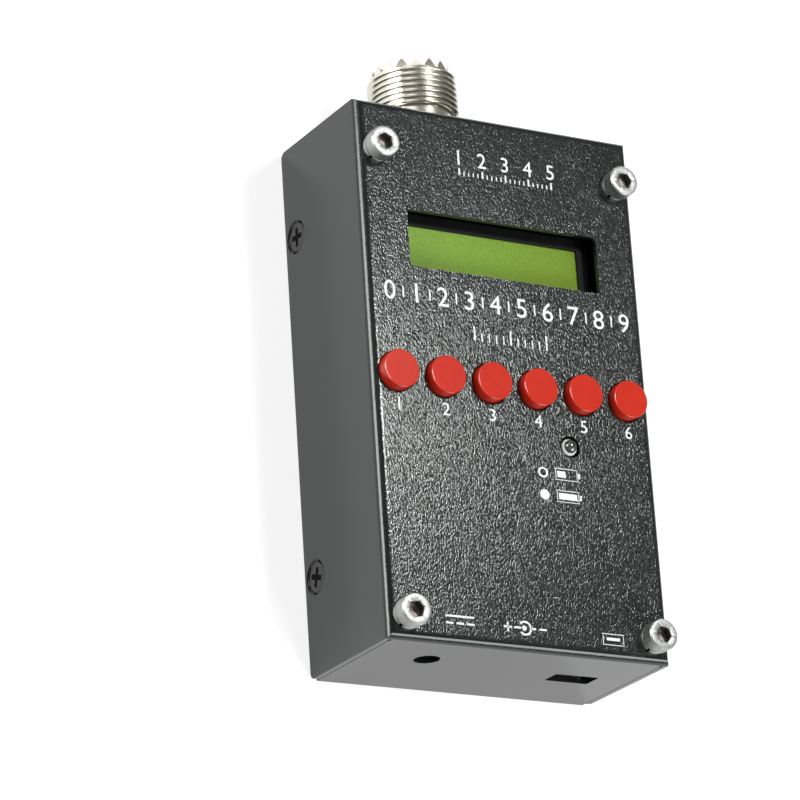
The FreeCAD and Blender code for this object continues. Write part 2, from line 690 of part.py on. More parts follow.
def socket_shell():
    """Turned shell: bush for the nut, collar, neck and thread, with a crown of teeth on the rim."""
    profile = [(BUSH_BORE_RADIUS, BUSH_END_Y), (BUSH_RADIUS, BUSH_END_Y), (BUSH_RADIUS, HALF_LENGTH),
               (COLLAR_RADIUS, HALF_LENGTH), (COLLAR_RADIUS, HALF_LENGTH + COLLAR_THICKNESS),
               (NECK_RADIUS, HALF_LENGTH + COLLAR_THICKNESS), (NECK_RADIUS, THREAD_START_Y)]
    root_radius = THREAD_RADIUS - THREAD_DEPTH
    for turn in range(THREAD_TURNS):
        y = THREAD_START_Y + turn * THREAD_PITCH
        profile.append((root_radius, y))
        profile += [(THREAD_RADIUS, y + share * THREAD_PITCH) for share in THREAD_CREST]
    end_y = THREAD_START_Y + THREAD_TURNS * THREAD_PITCH
    profile += [(root_radius, end_y), (root_radius, SOCKET_RIM_Y), (MOUTH_RADIUS, SOCKET_RIM_Y),
                (MOUTH_RADIUS, MOUTH_FLOOR_Y), (BUSH_BORE_RADIUS, MOUTH_FLOOR_Y)]
    corners = [Vec(SOCKET_X + r, y, SOCKET_Z) for r, y in profile]
    outline = Part.Face(Part.makePolygon(corners + corners[:1]))
    shell = outline.revolve(Vec(SOCKET_X, 0, SOCKET_Z), Y_AXIS, 360)
    return fused([shell] + rim_teeth())


def rim_teeth():
    """Pointed teeth around the socket's rim."""
    inner, outer = TOOTH_RADII
    x = SOCKET_X + inner
    root_y = SOCKET_RIM_Y - TOOTH_ROOT
    low_z, high_z = SOCKET_Z - TOOTH_BASE / 2, SOCKET_Z + TOOTH_BASE / 2
    outline = [(x, root_y, low_z), (x, root_y, high_z), (x, SOCKET_RIM_Y, high_z),
               (x, SOCKET_RIM_Y + TOOTH_HEIGHT, SOCKET_Z), (x, SOCKET_RIM_Y, low_z)]
    teeth = []
    for k in range(RIM_TEETH):
        tooth = prism(outline, X_AXIS * (outer - inner))
        tooth.rotate(Vec(SOCKET_X, 0, SOCKET_Z), Y_AXIS, k * 360 / RIM_TEETH)
        teeth.append(tooth)
    return teeth


def socket_rod(radius, low_y, high_y):
    """Cylinder on the antenna socket's axis."""
    return rod(radius, (SOCKET_X, low_y, SOCKET_Z), Y_AXIS, high_y - low_y)


def socket_insulator():
    """Stepped plastic plug that centres the contact in the shell."""
    front = socket_rod(MOUTH_RADIUS, MOUTH_FLOOR_Y, INSULATOR_FRONT_Y)
    rear = socket_rod(BUSH_BORE_RADIUS, INSULATOR_BACK_Y, MOUTH_FLOOR_Y)
    wide_bore = socket_rod(CONTACT_RADIUS, CONTACT_STEP_Y, INSULATOR_FRONT_Y + PAST)
    narrow_bore = socket_rod(CONTACT_TAIL_RADIUS, INSULATOR_BACK_Y - PAST, CONTACT_STEP_Y)
    return fused([front, rear]).cut([wide_bore, narrow_bore])


def socket_contact():
    """Slotted female contact with a solder cup behind."""
    front = socket_rod(CONTACT_RADIUS, CONTACT_STEP_Y, CONTACT_FRONT_Y)
    tail = socket_rod(CONTACT_TAIL_RADIUS, CONTACT_TAIL_Y, CONTACT_STEP_Y)
    contact = fused([front, tail])
    bore = socket_rod(CONTACT_BORE_RADIUS, CONTACT_FRONT_Y - CONTACT_BORE_DEPTH, CONTACT_FRONT_Y)
    cup_radius = CONTACT_TAIL_RADIUS - CONTACT_CUP_WALL
    cup = socket_rod(cup_radius, CONTACT_TAIL_Y, CONTACT_TAIL_Y + CONTACT_CUP_DEPTH)
    slot_y = CONTACT_FRONT_Y - CONTACT_SLOT_LENGTH / 2
    reach = 2 * (CONTACT_RADIUS + PAST)
    slots = [centred_block((SOCKET_X, slot_y, SOCKET_Z), (reach, CONTACT_SLOT_LENGTH, CONTACT_SLOT_WIDTH)),
             centred_block((SOCKET_X, slot_y, SOCKET_Z), (CONTACT_SLOT_WIDTH, CONTACT_SLOT_LENGTH, reach))]
    return contact.cut([bore, cup] + slots)


def socket_lock_washer():
    y = INNER_HALF_LENGTH - LOCK_WASHER_THICKNESS
    return ring(LOCK_WASHER_RADIUS, BUSH_RADIUS, (SOCKET_X, y, SOCKET_Z), Y_AXIS, LOCK_WASHER_THICKNESS)


def socket_nut():
    y = INNER_HALF_LENGTH - LOCK_WASHER_THICKNESS - NUT_THICKNESS
    nut = hex_prism(NUT_ACROSS_FLATS, (SOCKET_X, y, SOCKET_Z), Y_AXIS, NUT_THICKNESS)
    return nut.cut(socket_rod(BUSH_RADIUS, y, y + NUT_THICKNESS))


# --- Jack end ---

def dc_socket_body():
    """Moulded DC socket standing on the main board."""
    front_y = -INNER_HALF_LENGTH + JACK_GAP
    height = 2 * (DC_Z - MAIN_BOARD_TOP)
    body = block((DC_X - DC_BODY_WIDTH / 2, front_y, MAIN_BOARD_TOP),
                 (DC_X + DC_BODY_WIDTH / 2, front_y + DC_BODY_LENGTH, MAIN_BOARD_TOP + height))
    bore = rod(DC_BORE_RADIUS, (DC_X, front_y, DC_Z), Y_AXIS, DC_BORE_DEPTH)
    pin_hole = rod(DC_PIN_RADIUS, (DC_X, front_y, DC_Z), Y_AXIS, DC_BODY_LENGTH)
    return body.cut([bore, pin_hole])


def dc_socket_pin():
    front_y = -INNER_HALF_LENGTH + JACK_GAP + DC_PIN_SETBACK
    length = DC_BODY_LENGTH - DC_PIN_SETBACK
    pin = rod(DC_PIN_RADIUS, (DC_X, front_y, DC_Z), Y_AXIS, length)
    return pin.makeFillet(DC_PIN_ROUNDING, edges_at(pin, Y_AXIS, front_y))


def usb_outline(margin, y):
    """Socket outline, wide above and chamfered toward the board, shrunk by a margin."""
    middle_x = sum(USB_SLOT_X) / 2
    half = USB_SHELL_WIDTH / 2 - margin
    low = MAIN_BOARD_TOP + USB_STANDOFF + margin
    high = MAIN_BOARD_TOP + USB_STANDOFF + USB_SHELL_HEIGHT - margin
    cut = USB_CHAMFER
    return [(middle_x - half + cut, y, low), (middle_x + half - cut, y, low), (middle_x + half, y, low + cut),
            (middle_x + half, y, high), (middle_x - half, y, high), (middle_x - half, y, low + cut)]


def usb_shell():
    front_y = -INNER_HALF_LENGTH + JACK_GAP
    shell = prism(usb_outline(0, front_y), Y_AXIS * USB_SHELL_LENGTH)
    cavity = prism(usb_outline(USB_SHELL_WALL, front_y - PAST), Y_AXIS * USB_SHELL_LENGTH)
    return shell.cut(cavity)


def usb_tongue():
    width, height, length = USB_TONGUE
    back_y = -INNER_HALF_LENGTH + JACK_GAP + USB_SHELL_LENGTH - USB_TONGUE_SETBACK
    middle_z = MAIN_BOARD_TOP + USB_STANDOFF + USB_SHELL_HEIGHT / 2
    return centred_block((sum(USB_SLOT_X) / 2, back_y - length / 2, middle_z), (width, length, height))


# --- Power switch ---

def switch_block(size, low_y, high_y):
    """Box about the power switch's middle, size given across X and Z."""
    middle_y = (low_y + high_y) / 2
    return centred_block((ROCKER_X, middle_y, ROCKER_Z), (size[0], high_y - low_y, size[1]))


def power_switch_frame():
    """Panel switch frame with its rocker chamber."""
    outer_y = HALF_LENGTH + BEZEL_HEIGHT
    bezel = switch_block(BEZEL_SIZE, HALF_LENGTH, outer_y)
    bezel = bezel.makeFillet(BEZEL_ROUNDING, edges_at(bezel, Y_AXIS, outer_y))
    body = switch_block(SWITCH_BODY_SIZE, SWITCH_BODY_END_Y, HALF_LENGTH + SWITCH_BODY_OVERLAP)
    chamber = switch_block(SWITCH_OPENING, SWITCH_CAVITY_FLOOR_Y, outer_y + PAST)
    pin_radius = ROCKER_PIN_RADIUS + ROCKER_PIN_CLEARANCE
    reach = ROCKER_PIN_REACH + ROCKER_PIN_CLEARANCE
    pin_hole = rod(pin_radius, (ROCKER_X, ROCKER_PIVOT_Y, ROCKER_Z - reach), Z_AXIS, 2 * reach)
    return fused([bezel, body]).cut([chamber, pin_hole])


def power_rocker():
    """Rocker with two wings, a hub and pivot pins, resting with its left wing pressed."""
    r = ROCKER_END_RADIUS
    top = ROCKER_WING_RISE
    wing_x = math.sqrt(r * r - top * top)
    low_angle = math.radians(ROCKER_END_ANGLE)
    low = (r * math.cos(low_angle), r * math.sin(low_angle))
    z = ROCKER_Z - ROCKER_WIDTH / 2

    def at(u, v):
        return Vec(ROCKER_X + u, ROCKER_PIVOT_Y + v, z)

    hub = ROCKER_HUB_HALF_WIDTH
    edges = [
        Part.LineSegment(at(-wing_x, top), at(0, top - ROCKER_DIP)),
        Part.LineSegment(at(0, top - ROCKER_DIP), at(wing_x, top)),
        Part.Arc(at(wing_x, top), at(r, 0), at(*low)),
        Part.LineSegment(at(*low), at(hub, -ROCKER_HUB_DROP)),
        Part.LineSegment(at(hub, -ROCKER_HUB_DROP), at(-hub, -ROCKER_HUB_DROP)),
        Part.LineSegment(at(-hub, -ROCKER_HUB_DROP), at(-low[0], low[1])),
        Part.Arc(at(-low[0], low[1]), at(-r, 0), at(-wing_x, top)),
    ]
    body = Part.Face(Part.Wire([e.toShape() for e in edges])).extrude(Z_AXIS * ROCKER_WIDTH)
    pin_start = (ROCKER_X, ROCKER_PIVOT_Y, ROCKER_Z - ROCKER_PIN_REACH)
    pins = rod(ROCKER_PIN_RADIUS, pin_start, Z_AXIS, 2 * ROCKER_PIN_REACH)
    rocker = fused([body, pins])
    rocker.rotate(Vec(ROCKER_X, ROCKER_PIVOT_Y, ROCKER_Z), Z_AXIS, ROCKER_TILT)
    return rocker


def power_switch_blades():
    thickness, width = BLADE_SIZE
    middle_y = (SWITCH_BODY_END_Y + BLADE_END_Y) / 2
    return group([centred_block((ROCKER_X + dx, middle_y, ROCKER_Z),
                                (thickness, SWITCH_BODY_END_Y - BLADE_END_Y, width)) for dx in BLADE_OFFSETS])


# --- Cell and wires ---

def cell_pad():
    """Foam pad between the cell and the back cover."""
    in_x, in_y = PAD_MARGIN
    return block((CELL_X[0] + in_x, CELL_Y[0] + in_y, SHEET),
                 (CELL_X[1] - in_x, CELL_Y[1] - in_y, SHEET + PAD_THICKNESS))


def cell():
    """Flat foil-wrapped rechargeable cell, stuck to the back cover."""
    low_z = SHEET + PAD_THICKNESS
    pouch = block((CELL_X[0], CELL_Y[0], low_z), (CELL_X[1], CELL_Y[1], low_z + CELL_THICKNESS))
    pouch = pouch.makeFillet(CELL_ROUNDING, edges_at(pouch, Z_AXIS, low_z + CELL_THICKNESS / 2))
    tab = block((-CELL_TAB_HALF_WIDTH, CELL_Y[0] - CELL_TAB_LENGTH, low_z + CELL_TAB_INSET),
                (CELL_TAB_HALF_WIDTH, CELL_Y[0], low_z + CELL_THICKNESS - CELL_TAB_INSET))
    return fused([pouch, tab])


def bend_radius(before, corner, after):
    """Radius of the arc that a wire takes at a corner of its route."""
    a = corner - before
    b = after - corner
    turn = a.getAngle(b)
    return BEND_SHARE * min(a.Length, b.Length) / math.tan(turn / 2)


def wire_run(route, radius, name):
    """Round wire along straight runs joined by tangent arcs."""
    points = [Vec(*p) for p in route]
    edges = []
    start = points[0]
    radii = []
    for before, corner, after in zip(points, points[1:], points[2:]):
        into = (corner - before).normalize()
        out = (after - corner).normalize()
        turn = into.getAngle(out)
        bend = bend_radius(before, corner, after)
        setback = bend * math.tan(turn / 2)
        arc_start = corner - into * setback
        arc_end = corner + out * setback
        middle = corner + (out - into).normalize() * (bend / math.cos(turn / 2) - bend)
        edges.append(Part.LineSegment(start, arc_start).toShape())
        edges.append(Part.Arc(arc_start, middle, arc_end).toShape())
        radii.append(round(bend, 2))
        start = arc_end
    edges.append(Part.LineSegment(start, points[-1]).toShape())
    path = Part.Wire(edges)
    section = Part.Wire([Part.Circle(points[0], points[1] - points[0], radius).toShape()])
    tube = path.makePipeShell([section], True, True)
    ratio = tube.Volume / (math.pi * radius ** 2 * path.Length)
    print(name, "bend radii", radii, "length", round(path.Length, 1), "volume ratio", round(ratio, 3))
    return tube


def cell_plug():
    """Plug on the cell's leads, below the main board near the jack end."""
    width, length, height = PLUG_SIZE
    return centred_block((PLUG_X, PLUG_Y - length / 2, PLUG_WIRE_Z), (width, length, height))


def cell_plug_header():
    """Board header that the cell's plug goes into."""
    width, length, height = PLUG_HEADER_SIZE
    middle = (PLUG_X, PLUG_Y - PLUG_SIZE[1] - length / 2, MAIN_BOARD_BOTTOM - height / 2)
    return centred_block(middle, (width, length, height))


def cell_lead(side, name):
    """One lead from the cell's tab to its plug."""
    start_y = CELL_Y[0] - CELL_TAB_LENGTH
    start_z = SHEET + PAD_THICKNESS + CELL_THICKNESS / 2
    shift = side * LEAD_SPACING / 2
    start_x = LEAD_X + shift
    end_x = PLUG_LEAD_X + shift
    route = [(start_x, start_y, start_z), (start_x, start_y - LEAD_RUN, start_z),
             (end_x, PLUG_Y + PLUG_LEAD_RUN, PLUG_WIRE_Z), (end_x, PLUG_Y, PLUG_WIRE_Z)]
    return wire_run(route, WIRE_RADIUS, name)


def board_wire(x, start_y, name):
    """Wire from a part on the socket end down to a pad on top of the main board."""
    half_way_y = (start_y + BOARD_WIRE_LAND_Y) / 2
    route = [(x, start_y, SOCKET_Z), (x, half_way_y, SOCKET_Z),
             (x, BOARD_WIRE_LAND_Y, BOARD_WIRE_Z), (x, BOARD_WIRE_END_Y, BOARD_WIRE_Z)]
    return wire_run(route, WIRE_RADIUS, name)


# --- Parts on the main board ---

def chip(place, legs_x=0, legs_y=0):
    """Moulded chip body; legs_x counts legs on each X side, legs_y on each Y side."""
    (x, y), (width, length, height) = place
    body_z = MAIN_BOARD_TOP + CHIP_STANDOFF
    body = block((x - width / 2, y - length / 2, body_z), (x + width / 2, y + length / 2, body_z + height))
    leg_width, reach, thickness = CHIP_LEG
    leg_height = CHIP_STANDOFF + thickness
    leg_z = MAIN_BOARD_TOP + leg_height / 2
    shapes = [body]
    for count, span, half, turned in ((legs_x, length, width / 2, False), (legs_y, width, length / 2, True)):
        for k in range(count):
            along = (k + 0.5) * span / count - span / 2
            for side in (-1, 1):
                out = side * (half + reach / 2)
                middle = (x + along, y + out) if turned else (x + out, y + along)
                size = (leg_width, reach) if turned else (reach, leg_width)
                shapes.append(centred_block((*middle, leg_z), (*size, leg_height)))
    return fused(shapes)


def clock_can():
    (x, y), (width, length, height) = CLOCK_CAN
    middle_z = MAIN_BOARD_TOP + height / 2
    can = centred_block((x, y, middle_z), (width, length, height))
    return can.makeFillet(CLOCK_CAN_ROUNDING, edges_at(can, Z_AXIS, middle_z))


def choke():
    """Ring core of the bridge transformer, lying on the main board."""
    (x, y), outer, inner, height = CHOKE
    core = ring(outer, inner, (x, y, MAIN_BOARD_TOP), Z_AXIS, height)
    return core.makeFillet(CHOKE_ROUNDING, edges_at(core, Z_AXIS, MAIN_BOARD_TOP + height))


def small_parts():
    """Two rows of surface-mount resistors and capacitors."""
    parts = []
    for y in SMALL_PART_ROWS_Y:
        for k in range(SMALL_PART_COUNT):
            x = (k - (SMALL_PART_COUNT - 1) / 2) * SMALL_PART_PITCH
            parts.append(centred_block((x, y, MAIN_BOARD_TOP + SMALL_PART_SIZE[2] / 2), SMALL_PART_SIZE))
    return group(parts)


SUBPARTS = {
    "front_case": front_case,
    "back_cover": back_cover,
    "cover_screws": cover_screws,
    "face_screws": face_screws,
    "spring_washers": spring_washers,
    "board_pillars": board_pillars,
    "main_board": main_board,
    "lcd_board": lcd_board,
    "lcd_header": lcd_header,
    "lcd_frame": lcd_frame,
    "lcd_glass": lcd_glass,
    "lcd_backlight": lcd_backlight,
    "key_switch_bodies": key_switch_bodies,
    "key_switch_legs": key_switch_legs,
    "charge_lamp": charge_lamp,
    "charge_lamp_leads": charge_lamp_leads,
    "socket_shell": socket_shell,
    "socket_insulator": socket_insulator,
    "socket_contact": socket_contact,
    "socket_lock_washer": socket_lock_washer,
    "socket_nut": socket_nut,
    "socket_wire": lambda: board_wire(SOCKET_X, CONTACT_TAIL_Y + CONTACT_CUP_DEPTH, "socket_wire"),
    "dc_socket_body": dc_socket_body,
    "dc_socket_pin": dc_socket_pin,
    "usb_shell": usb_shell,
    "usb_tongue": usb_tongue,
    "power_switch_frame": power_switch_frame,
    "power_rocker": power_rocker,
    "power_switch_blades": power_switch_blades,
    "cell": cell,
    "cell_pad": cell_pad,
    "cell_plug": cell_plug,
    "cell_plug_header": cell_plug_header,
    "cell_lead_red": lambda: cell_lead(1, "cell_lead_red"),
    "cell_lead_black": lambda: cell_lead(-1, "cell_lead_black"),
    "microcontroller": lambda: chip(MICROCONTROLLER, legs_x=11, legs_y=11),
    "synthesizer_chip": lambda: chip(SYNTHESIZER_CHIP, legs_x=14),
    "amplifier_chip": lambda: chip(AMPLIFIER_CHIP, legs_x=4),
    "charger_chip": lambda: chip(CHARGER_CHIP, legs_x=4),
    "clock_can": clock_can,
    "choke": choke,
    "small_parts": small_parts,
}
for end, offset in zip(("left", "right"), BLADE_OFFSETS):
    wire_name = f"power_switch_wire_{end}"
    SUBPARTS[wire_name] = lambda x=ROCKER_X + offset, n=wire_name: board_wire(x, BLADE_END_Y, n)
for number in range(1, KEY_COUNT + 1):
    SUBPARTS[f"key_cap_{number}"] = lambda k=number - 1: key_cap(k)
    SUBPARTS[f"key_plunger_{number}"] = lambda k=number - 1: key_plunger(k)


def build():
    os.makedirs("parts", exist_ok=True)
    for name, make in SUBPARTS.items():
        shape = make()
        shape.exportStep(f"parts/{name}.step")
        print(name, "solids", len(shape.Solids), "valid", shape.isValid(), "volume", round(shape.Volume, 2))


build()
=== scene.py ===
"""Antenna analyzer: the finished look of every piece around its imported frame.

The file is laid out as an add-on. Each operator builds or finishes one piece, or one group of like
pieces, and main() calls them in order.
"""
import json
from math import atan2, cos, hypot, pi, radians, sin, sqrt

import bmesh
import bpy
from bpy.props import FloatProperty, FloatVectorProperty, IntProperty, PointerProperty
from mathutils import Euler, Matrix, Vector


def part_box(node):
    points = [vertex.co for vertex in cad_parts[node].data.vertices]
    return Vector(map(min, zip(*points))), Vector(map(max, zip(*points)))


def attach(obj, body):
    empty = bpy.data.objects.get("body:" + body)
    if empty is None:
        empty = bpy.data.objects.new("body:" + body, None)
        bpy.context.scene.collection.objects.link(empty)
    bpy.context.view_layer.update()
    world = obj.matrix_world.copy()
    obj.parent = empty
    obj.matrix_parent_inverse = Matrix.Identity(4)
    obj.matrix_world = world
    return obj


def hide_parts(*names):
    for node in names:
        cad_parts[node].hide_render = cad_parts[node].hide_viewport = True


bl_info = {
    "name": "Antenna analyzer",
    "version": (1, 0, 0),
    "blender": (4, 5, 0),
    "location": "View3D > Sidebar > Analyzer",
    "description": "Builds the look of a folded-case antenna analyzer around its packed frame",
    "category": "Object",
}

MM = 0.001
FULL_TURN = 2 * pi
KEY_NUMBERS = range(1, 7)

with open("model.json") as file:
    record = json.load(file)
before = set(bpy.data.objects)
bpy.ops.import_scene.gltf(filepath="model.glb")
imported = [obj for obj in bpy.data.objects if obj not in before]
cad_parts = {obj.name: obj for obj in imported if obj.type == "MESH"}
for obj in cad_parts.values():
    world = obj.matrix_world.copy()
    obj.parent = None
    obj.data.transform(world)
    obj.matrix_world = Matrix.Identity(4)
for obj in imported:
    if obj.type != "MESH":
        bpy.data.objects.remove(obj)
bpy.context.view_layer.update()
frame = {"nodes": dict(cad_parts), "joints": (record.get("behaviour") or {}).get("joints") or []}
NODES = frame["nodes"]

CASE_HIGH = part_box("front_case")[1]
FACE_LEVEL = CASE_HIGH.z
BEND_RADIUS = 1.5 * MM
POWER_ROCK = next(joint for joint in frame["joints"] if joint["name"] == "power_rock")

MERGE_DISTANCE = 1e-7
TOLERANCE = 1e-6
SHARP_EDGE = radians(40)

# A lathe works round Z; this lays its axis along +Y.
ALONG_Y = Matrix.Rotation(radians(-90), 4, "X")

shift = Matrix.Translation


# --- Shapes ---

def face_out(bm):
    """Turns every face outward."""
    bmesh.ops.recalc_face_normals(bm, faces=bm.faces)


def swept(profile, steps, turns=1, **options):
    """Surface that a profile of (radius, height) points sweeps round Z."""
    bm = bmesh.new()
    points = [bm.verts.new((radius, 0, height)) for radius, height in profile]
    edges = [bm.edges.new(pair) for pair in zip(points, points[1:])]
    bmesh.ops.spin(bm, geom=points + edges, cent=(0, 0, 0), axis=(0, 0, 1),
                   angle=FULL_TURN * turns, steps=steps * turns, **options)
    return bm


def turned(profile, steps):
    """One full turn of a profile, with its poles closed."""
    bm = swept(profile, steps, use_merge=True)
    bmesh.ops.remove_doubles(bm, verts=bm.verts, dist=MERGE_DISTANCE)
    face_out(bm)
    return bm


def rounded(radius, height, rounding, steps):
    """Profile points of a rounded outer edge, from the top face out and down."""
    angles = [radians(90 * k / steps) for k in range(steps + 1)]
    return [(radius - rounding + rounding * sin(angle), height - rounding + rounding * cos(angle))
            for angle in angles]


def pull_in(point, share):
    """Scales a point's distance from the Z axis."""
    point.co.x *= share
    point.co.y *= share


def edges_at(points):
    """Edges that meet any of the points, each once."""
    return list(dict.fromkeys(edge for point in points for edge in point.link_edges))


def ring_edges(bm, radius, height, count, notch=0.0):
    """Edges of a new ring of points; notch pulls every other point inward."""
    points = bmesh.ops.create_circle(bm, cap_ends=False, radius=radius, segments=count,
                                     matrix=shift((0, 0, height)))["verts"]
    for point in points[::2]:
        pull_in(point, 1 - notch / radius)
    return edges_at(points)


def shaped_ring(bm, height, count, reach):
    """Edges of a new ring; reach gives a point's distance from the Z axis for its angle."""
    points = bmesh.ops.create_circle(bm, cap_ends=False, radius=1, segments=count,
                                     matrix=shift((0, 0, height)))["verts"]
    for point in points:
        angle = atan2(point.co.y, point.co.x)
        point.co.x, point.co.y = reach(angle) * cos(angle), reach(angle) * sin(angle)
    return edges_at(points)


def hex_ring(bm, across_flats, height, count, turn):
    """Edges of a ring of points that lie on a hexagon."""
    sixth = radians(60)
    return shaped_ring(bm, height, count, lambda angle: (
        across_flats / 2 / cos((angle - turn) % sixth - sixth / 2)))


def cross_ring(bm, length, width, height, count):
    """Edges of a ring of points that lie on a plus."""
    quarter = radians(90)

    def reach(angle):
        off = abs((angle + quarter / 2) % quarter - quarter / 2)
        return min(length / 2 / cos(off), width / 2 / max(sin(off), TOLERANCE))

    return shaped_ring(bm, height, count, reach)


def bridge_rings(bm, rings):
    """Walls from each ring to the next."""
    for first, second in zip(rings, rings[1:]):
        bmesh.ops.bridge_loops(bm, edges=first + second)


def close_ring(bm, ring, drop=0.0):
    """Closes a ring with a cone whose point lies a drop below it."""
    made = bmesh.ops.extrude_edge_only(bm, edges=ring)
    points = [item for item in made["geom"] if isinstance(item, bmesh.types.BMVert)]
    middle = sum((point.co for point in points), Vector()) / len(points)
    bmesh.ops.pointmerge(bm, verts=points, merge_co=middle - Vector((0, 0, drop)))


def open_edges(bm, height):
    """Edges with one face that lie at a height."""
    return [edge for edge in bm.edges if edge.is_boundary
            and all(abs(point.co.z - height) < TOLERANCE for point in edge.verts)]


def second_finish(bm, chosen):
    """Gives faces the second finish; chosen judges by reach from the Z axis and by height."""
    for face in bm.faces:
        middle = face.calc_center_median()
        if chosen(hypot(middle.x, middle.y), middle.z):
            face.material_index = 1


def moved(bm, matrix):
    """The same mesh, put in place."""
    bmesh.ops.transform(bm, matrix=matrix, verts=bm.verts)
    return bm


def as_mesh(name, bm):
    """Mesh data from a mesh that is no longer needed."""
    mesh = bpy.data.meshes.new(name)
    bm.to_mesh(mesh)
    bm.free()
    return mesh


def gather(parts):
    """One mesh from several."""
    whole = bmesh.new()
    for part in parts:
        holder = as_mesh("holder", part)
        whole.from_mesh(holder)
        bpy.data.meshes.remove(holder)
    return whole


def add_object(name, data):
    """A new object in the scene."""
    made = bpy.data.objects.new(name, data)
    bpy.context.scene.collection.objects.link(made)
    return made


def add_piece(name, bm, finishes, body, stands_for=(), sharp=35):
    """Turns a mesh that is in place into a piece that rides on a body."""
    mesh = as_mesh(name, bm)
    for finish in finishes:
        mesh.materials.append(finish)
    mesh.polygons.foreach_set("use_smooth", [True] * len(mesh.polygons))
    mesh.set_sharp_from_angle(angle=radians(sharp))
    piece = add_object(name, mesh)
    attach(piece, body)
    if stands_for:
        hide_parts(*stands_for)


def dress(finish, names, edge_width=0.0):
    """Gives CAD nodes a finish, and breaks their sharp edges."""
    for name in names:
        node = NODES[name]
        node.material_slots[0].material = finish
        if edge_width:
            weld = node.modifiers.new("merge", "WELD")
            weld.merge_threshold = TOLERANCE
            bevel = node.modifiers.new("edges", "BEVEL")
            bevel.width = edge_width
            bevel.segments = 2
            bevel.limit_method = "ANGLE"
            bevel.angle_limit = SHARP_EDGE
            shading = node.modifiers.new("shading", "WEIGHTED_NORMAL")
            shading.weight = 100
            shading.keep_sharp = True


# --- Finishes ---

class Value:
    """An output of a node, in arithmetic."""

    def __init__(self, graph, output):
        self.graph = graph
        self.output = output

    def __add__(self, other):
        return self.graph.arithmetic("ADD", self, other)

    def __mul__(self, other):
        return self.graph.arithmetic("MULTIPLY", self, other)

    def __rsub__(self, other):
        return self.graph.arithmetic("SUBTRACT", other, self)

    __radd__ = __add__
    __rmul__ = __mul__


class Graph:
    """A node tree that is built from expressions."""

    def __init__(self, tree):
        self.tree = tree

    def node(self, kind, settings=None, inputs=None, output=0):
        """Adds a node: its settings first, then the values or links of its sockets."""
        made = self.tree.nodes.new("ShaderNode" + kind)
        for key, value in (settings or {}).items():
            setattr(made, key, value)
        for key, value in (inputs or {}).items():
            self.feed(self.socket(made.inputs, key), value)
        return Value(self, self.socket(made.outputs, output))

    def socket(self, sockets, key):
        """A socket by its place, its identifier or its name."""
        if isinstance(key, int):
            return sockets[key]
        return next(s for s in sockets if key in (s.identifier, s.name))

    def feed(self, socket, value):
        """Links an output to a socket, or sets the socket to a constant."""
        if isinstance(value, Value):
            self.tree.links.new(value.output, socket)
        elif socket.type == "RGBA" and len(value) == 3:
            socket.default_value = (*value, 1)
        else:
            socket.default_value = value

    def arithmetic(self, operation, first, second):
        """The result of a math node."""
        return self.node("Math", {"operation": operation}, {0: first, 1: second})

    def seen_rays(self):
        """1 for the rays that should meet a plain white background."""
        camera, glossy, through = (self.node("LightPath", output=f"Is {kind} Ray")
                                   for kind in ("Camera", "Glossy", "Transmission"))
        return self.arithmetic("MAXIMUM", self.arithmetic("MAXIMUM", camera, glossy), through)


class Finish(Graph):
    """A surface finish: patterns on Object coordinates that feed one shader."""

    def __init__(self, name):
        self.material = bpy.data.materials.new(name)
        self.material.use_nodes = True
        super().__init__(self.material.node_tree)
        self.shader = self.tree.nodes["Principled BSDF"]
        self.place = self.node("TexCoord", output="Object")

    def stretched(self, x, y, z):
        """Coordinates scaled along each axis."""
        return self.node("Mapping", {}, {"Vector": self.place, "Scale": (x, y, z)})

    def along(self, axis):
        """Place along one axis, in metres."""
        return self.node("SeparateXYZ", {}, {"Vector": self.place}, axis)

    def noise(self, size, detail=2.0, rough=0.5, distortion=0.0, place=None):
        """Cloudy pattern from 0 to 1 whose features have a size in metres."""
        return self.node("TexNoise", {}, {
            "Vector": place or self.place, "Scale": 1 / size, "Detail": detail, "Roughness": rough,
            "Distortion": distortion}, "Fac")

    def span(self, value, low, high):
        """Smooth step of a value between two levels, from 0 to 1."""
        return self.node("MapRange", {"interpolation_type": "SMOOTHSTEP"}, {
            "Value": value, "From Min": low, "From Max": high})

    def tint(self, share, first, second):
        """Colour between two colours."""
        return self.node("Mix", {"data_type": "RGBA"}, {
            "Factor_Float": share, "A_Color": first, "B_Color": second}, "Result_Color")

    def bump(self, height, depth):
        """Surface relief whose height of 1 stands for a depth in metres."""
        relief = self.node("Bump", {}, {"Height": height, "Distance": depth}, "Normal")
        self.feed(self.shader.inputs["Normal"], relief)

    def set(self, **values):
        """Feeds the shader's sockets, and gives the material."""
        for name, value in values.items():
            self.feed(self.shader.inputs[name.replace("_", " ")], value)
        return self.material


def wrinkle_coat(settings):
    """Black powder coat: wrinkled on the face, nearly smooth on the walls; the face's ridges carry
    a painted highlight.
    """
    coat = Finish("wrinkle powder coat")
    size = settings.grain_size
    height = coat.along("Z")
    on_face = coat.span(height, FACE_LEVEL - 0.12 * MM, FACE_LEVEL - 0.005 * MM)
    on_bend = coat.span(height, FACE_LEVEL - BEND_RADIUS, FACE_LEVEL - 0.1 * MM)
    clouds = coat.noise(size, 0.5, distortion=0.2, place=coat.stretched(1, 0.5, 1))
    folds = coat.span(clouds, 0.3, 0.7)
    peel = coat.noise(size * 4)
    relief = folds * (on_face * 0.7 + on_bend * 0.3)
    coat.bump(relief + peel * (1 - on_face) * 0.13, settings.grain_depth)
    patch = coat.noise(9 * MM, 3.0)
    # Paler on the wrinkle ridges, darker in the folds: painted highlight and painted shade of the
    # grain, plus random paler patches.
    ridge_highlight_and_patches = folds * on_face * 0.8 + patch * 0.2
    colour = coat.tint(ridge_highlight_and_patches, settings.coat_colour, settings.coat_light)
    return coat.set(Base_Color=colour, Roughness=settings.roughness + 0.05 * patch, IOR=1.5,
                    Specular_Tint=settings.sheen_colour)


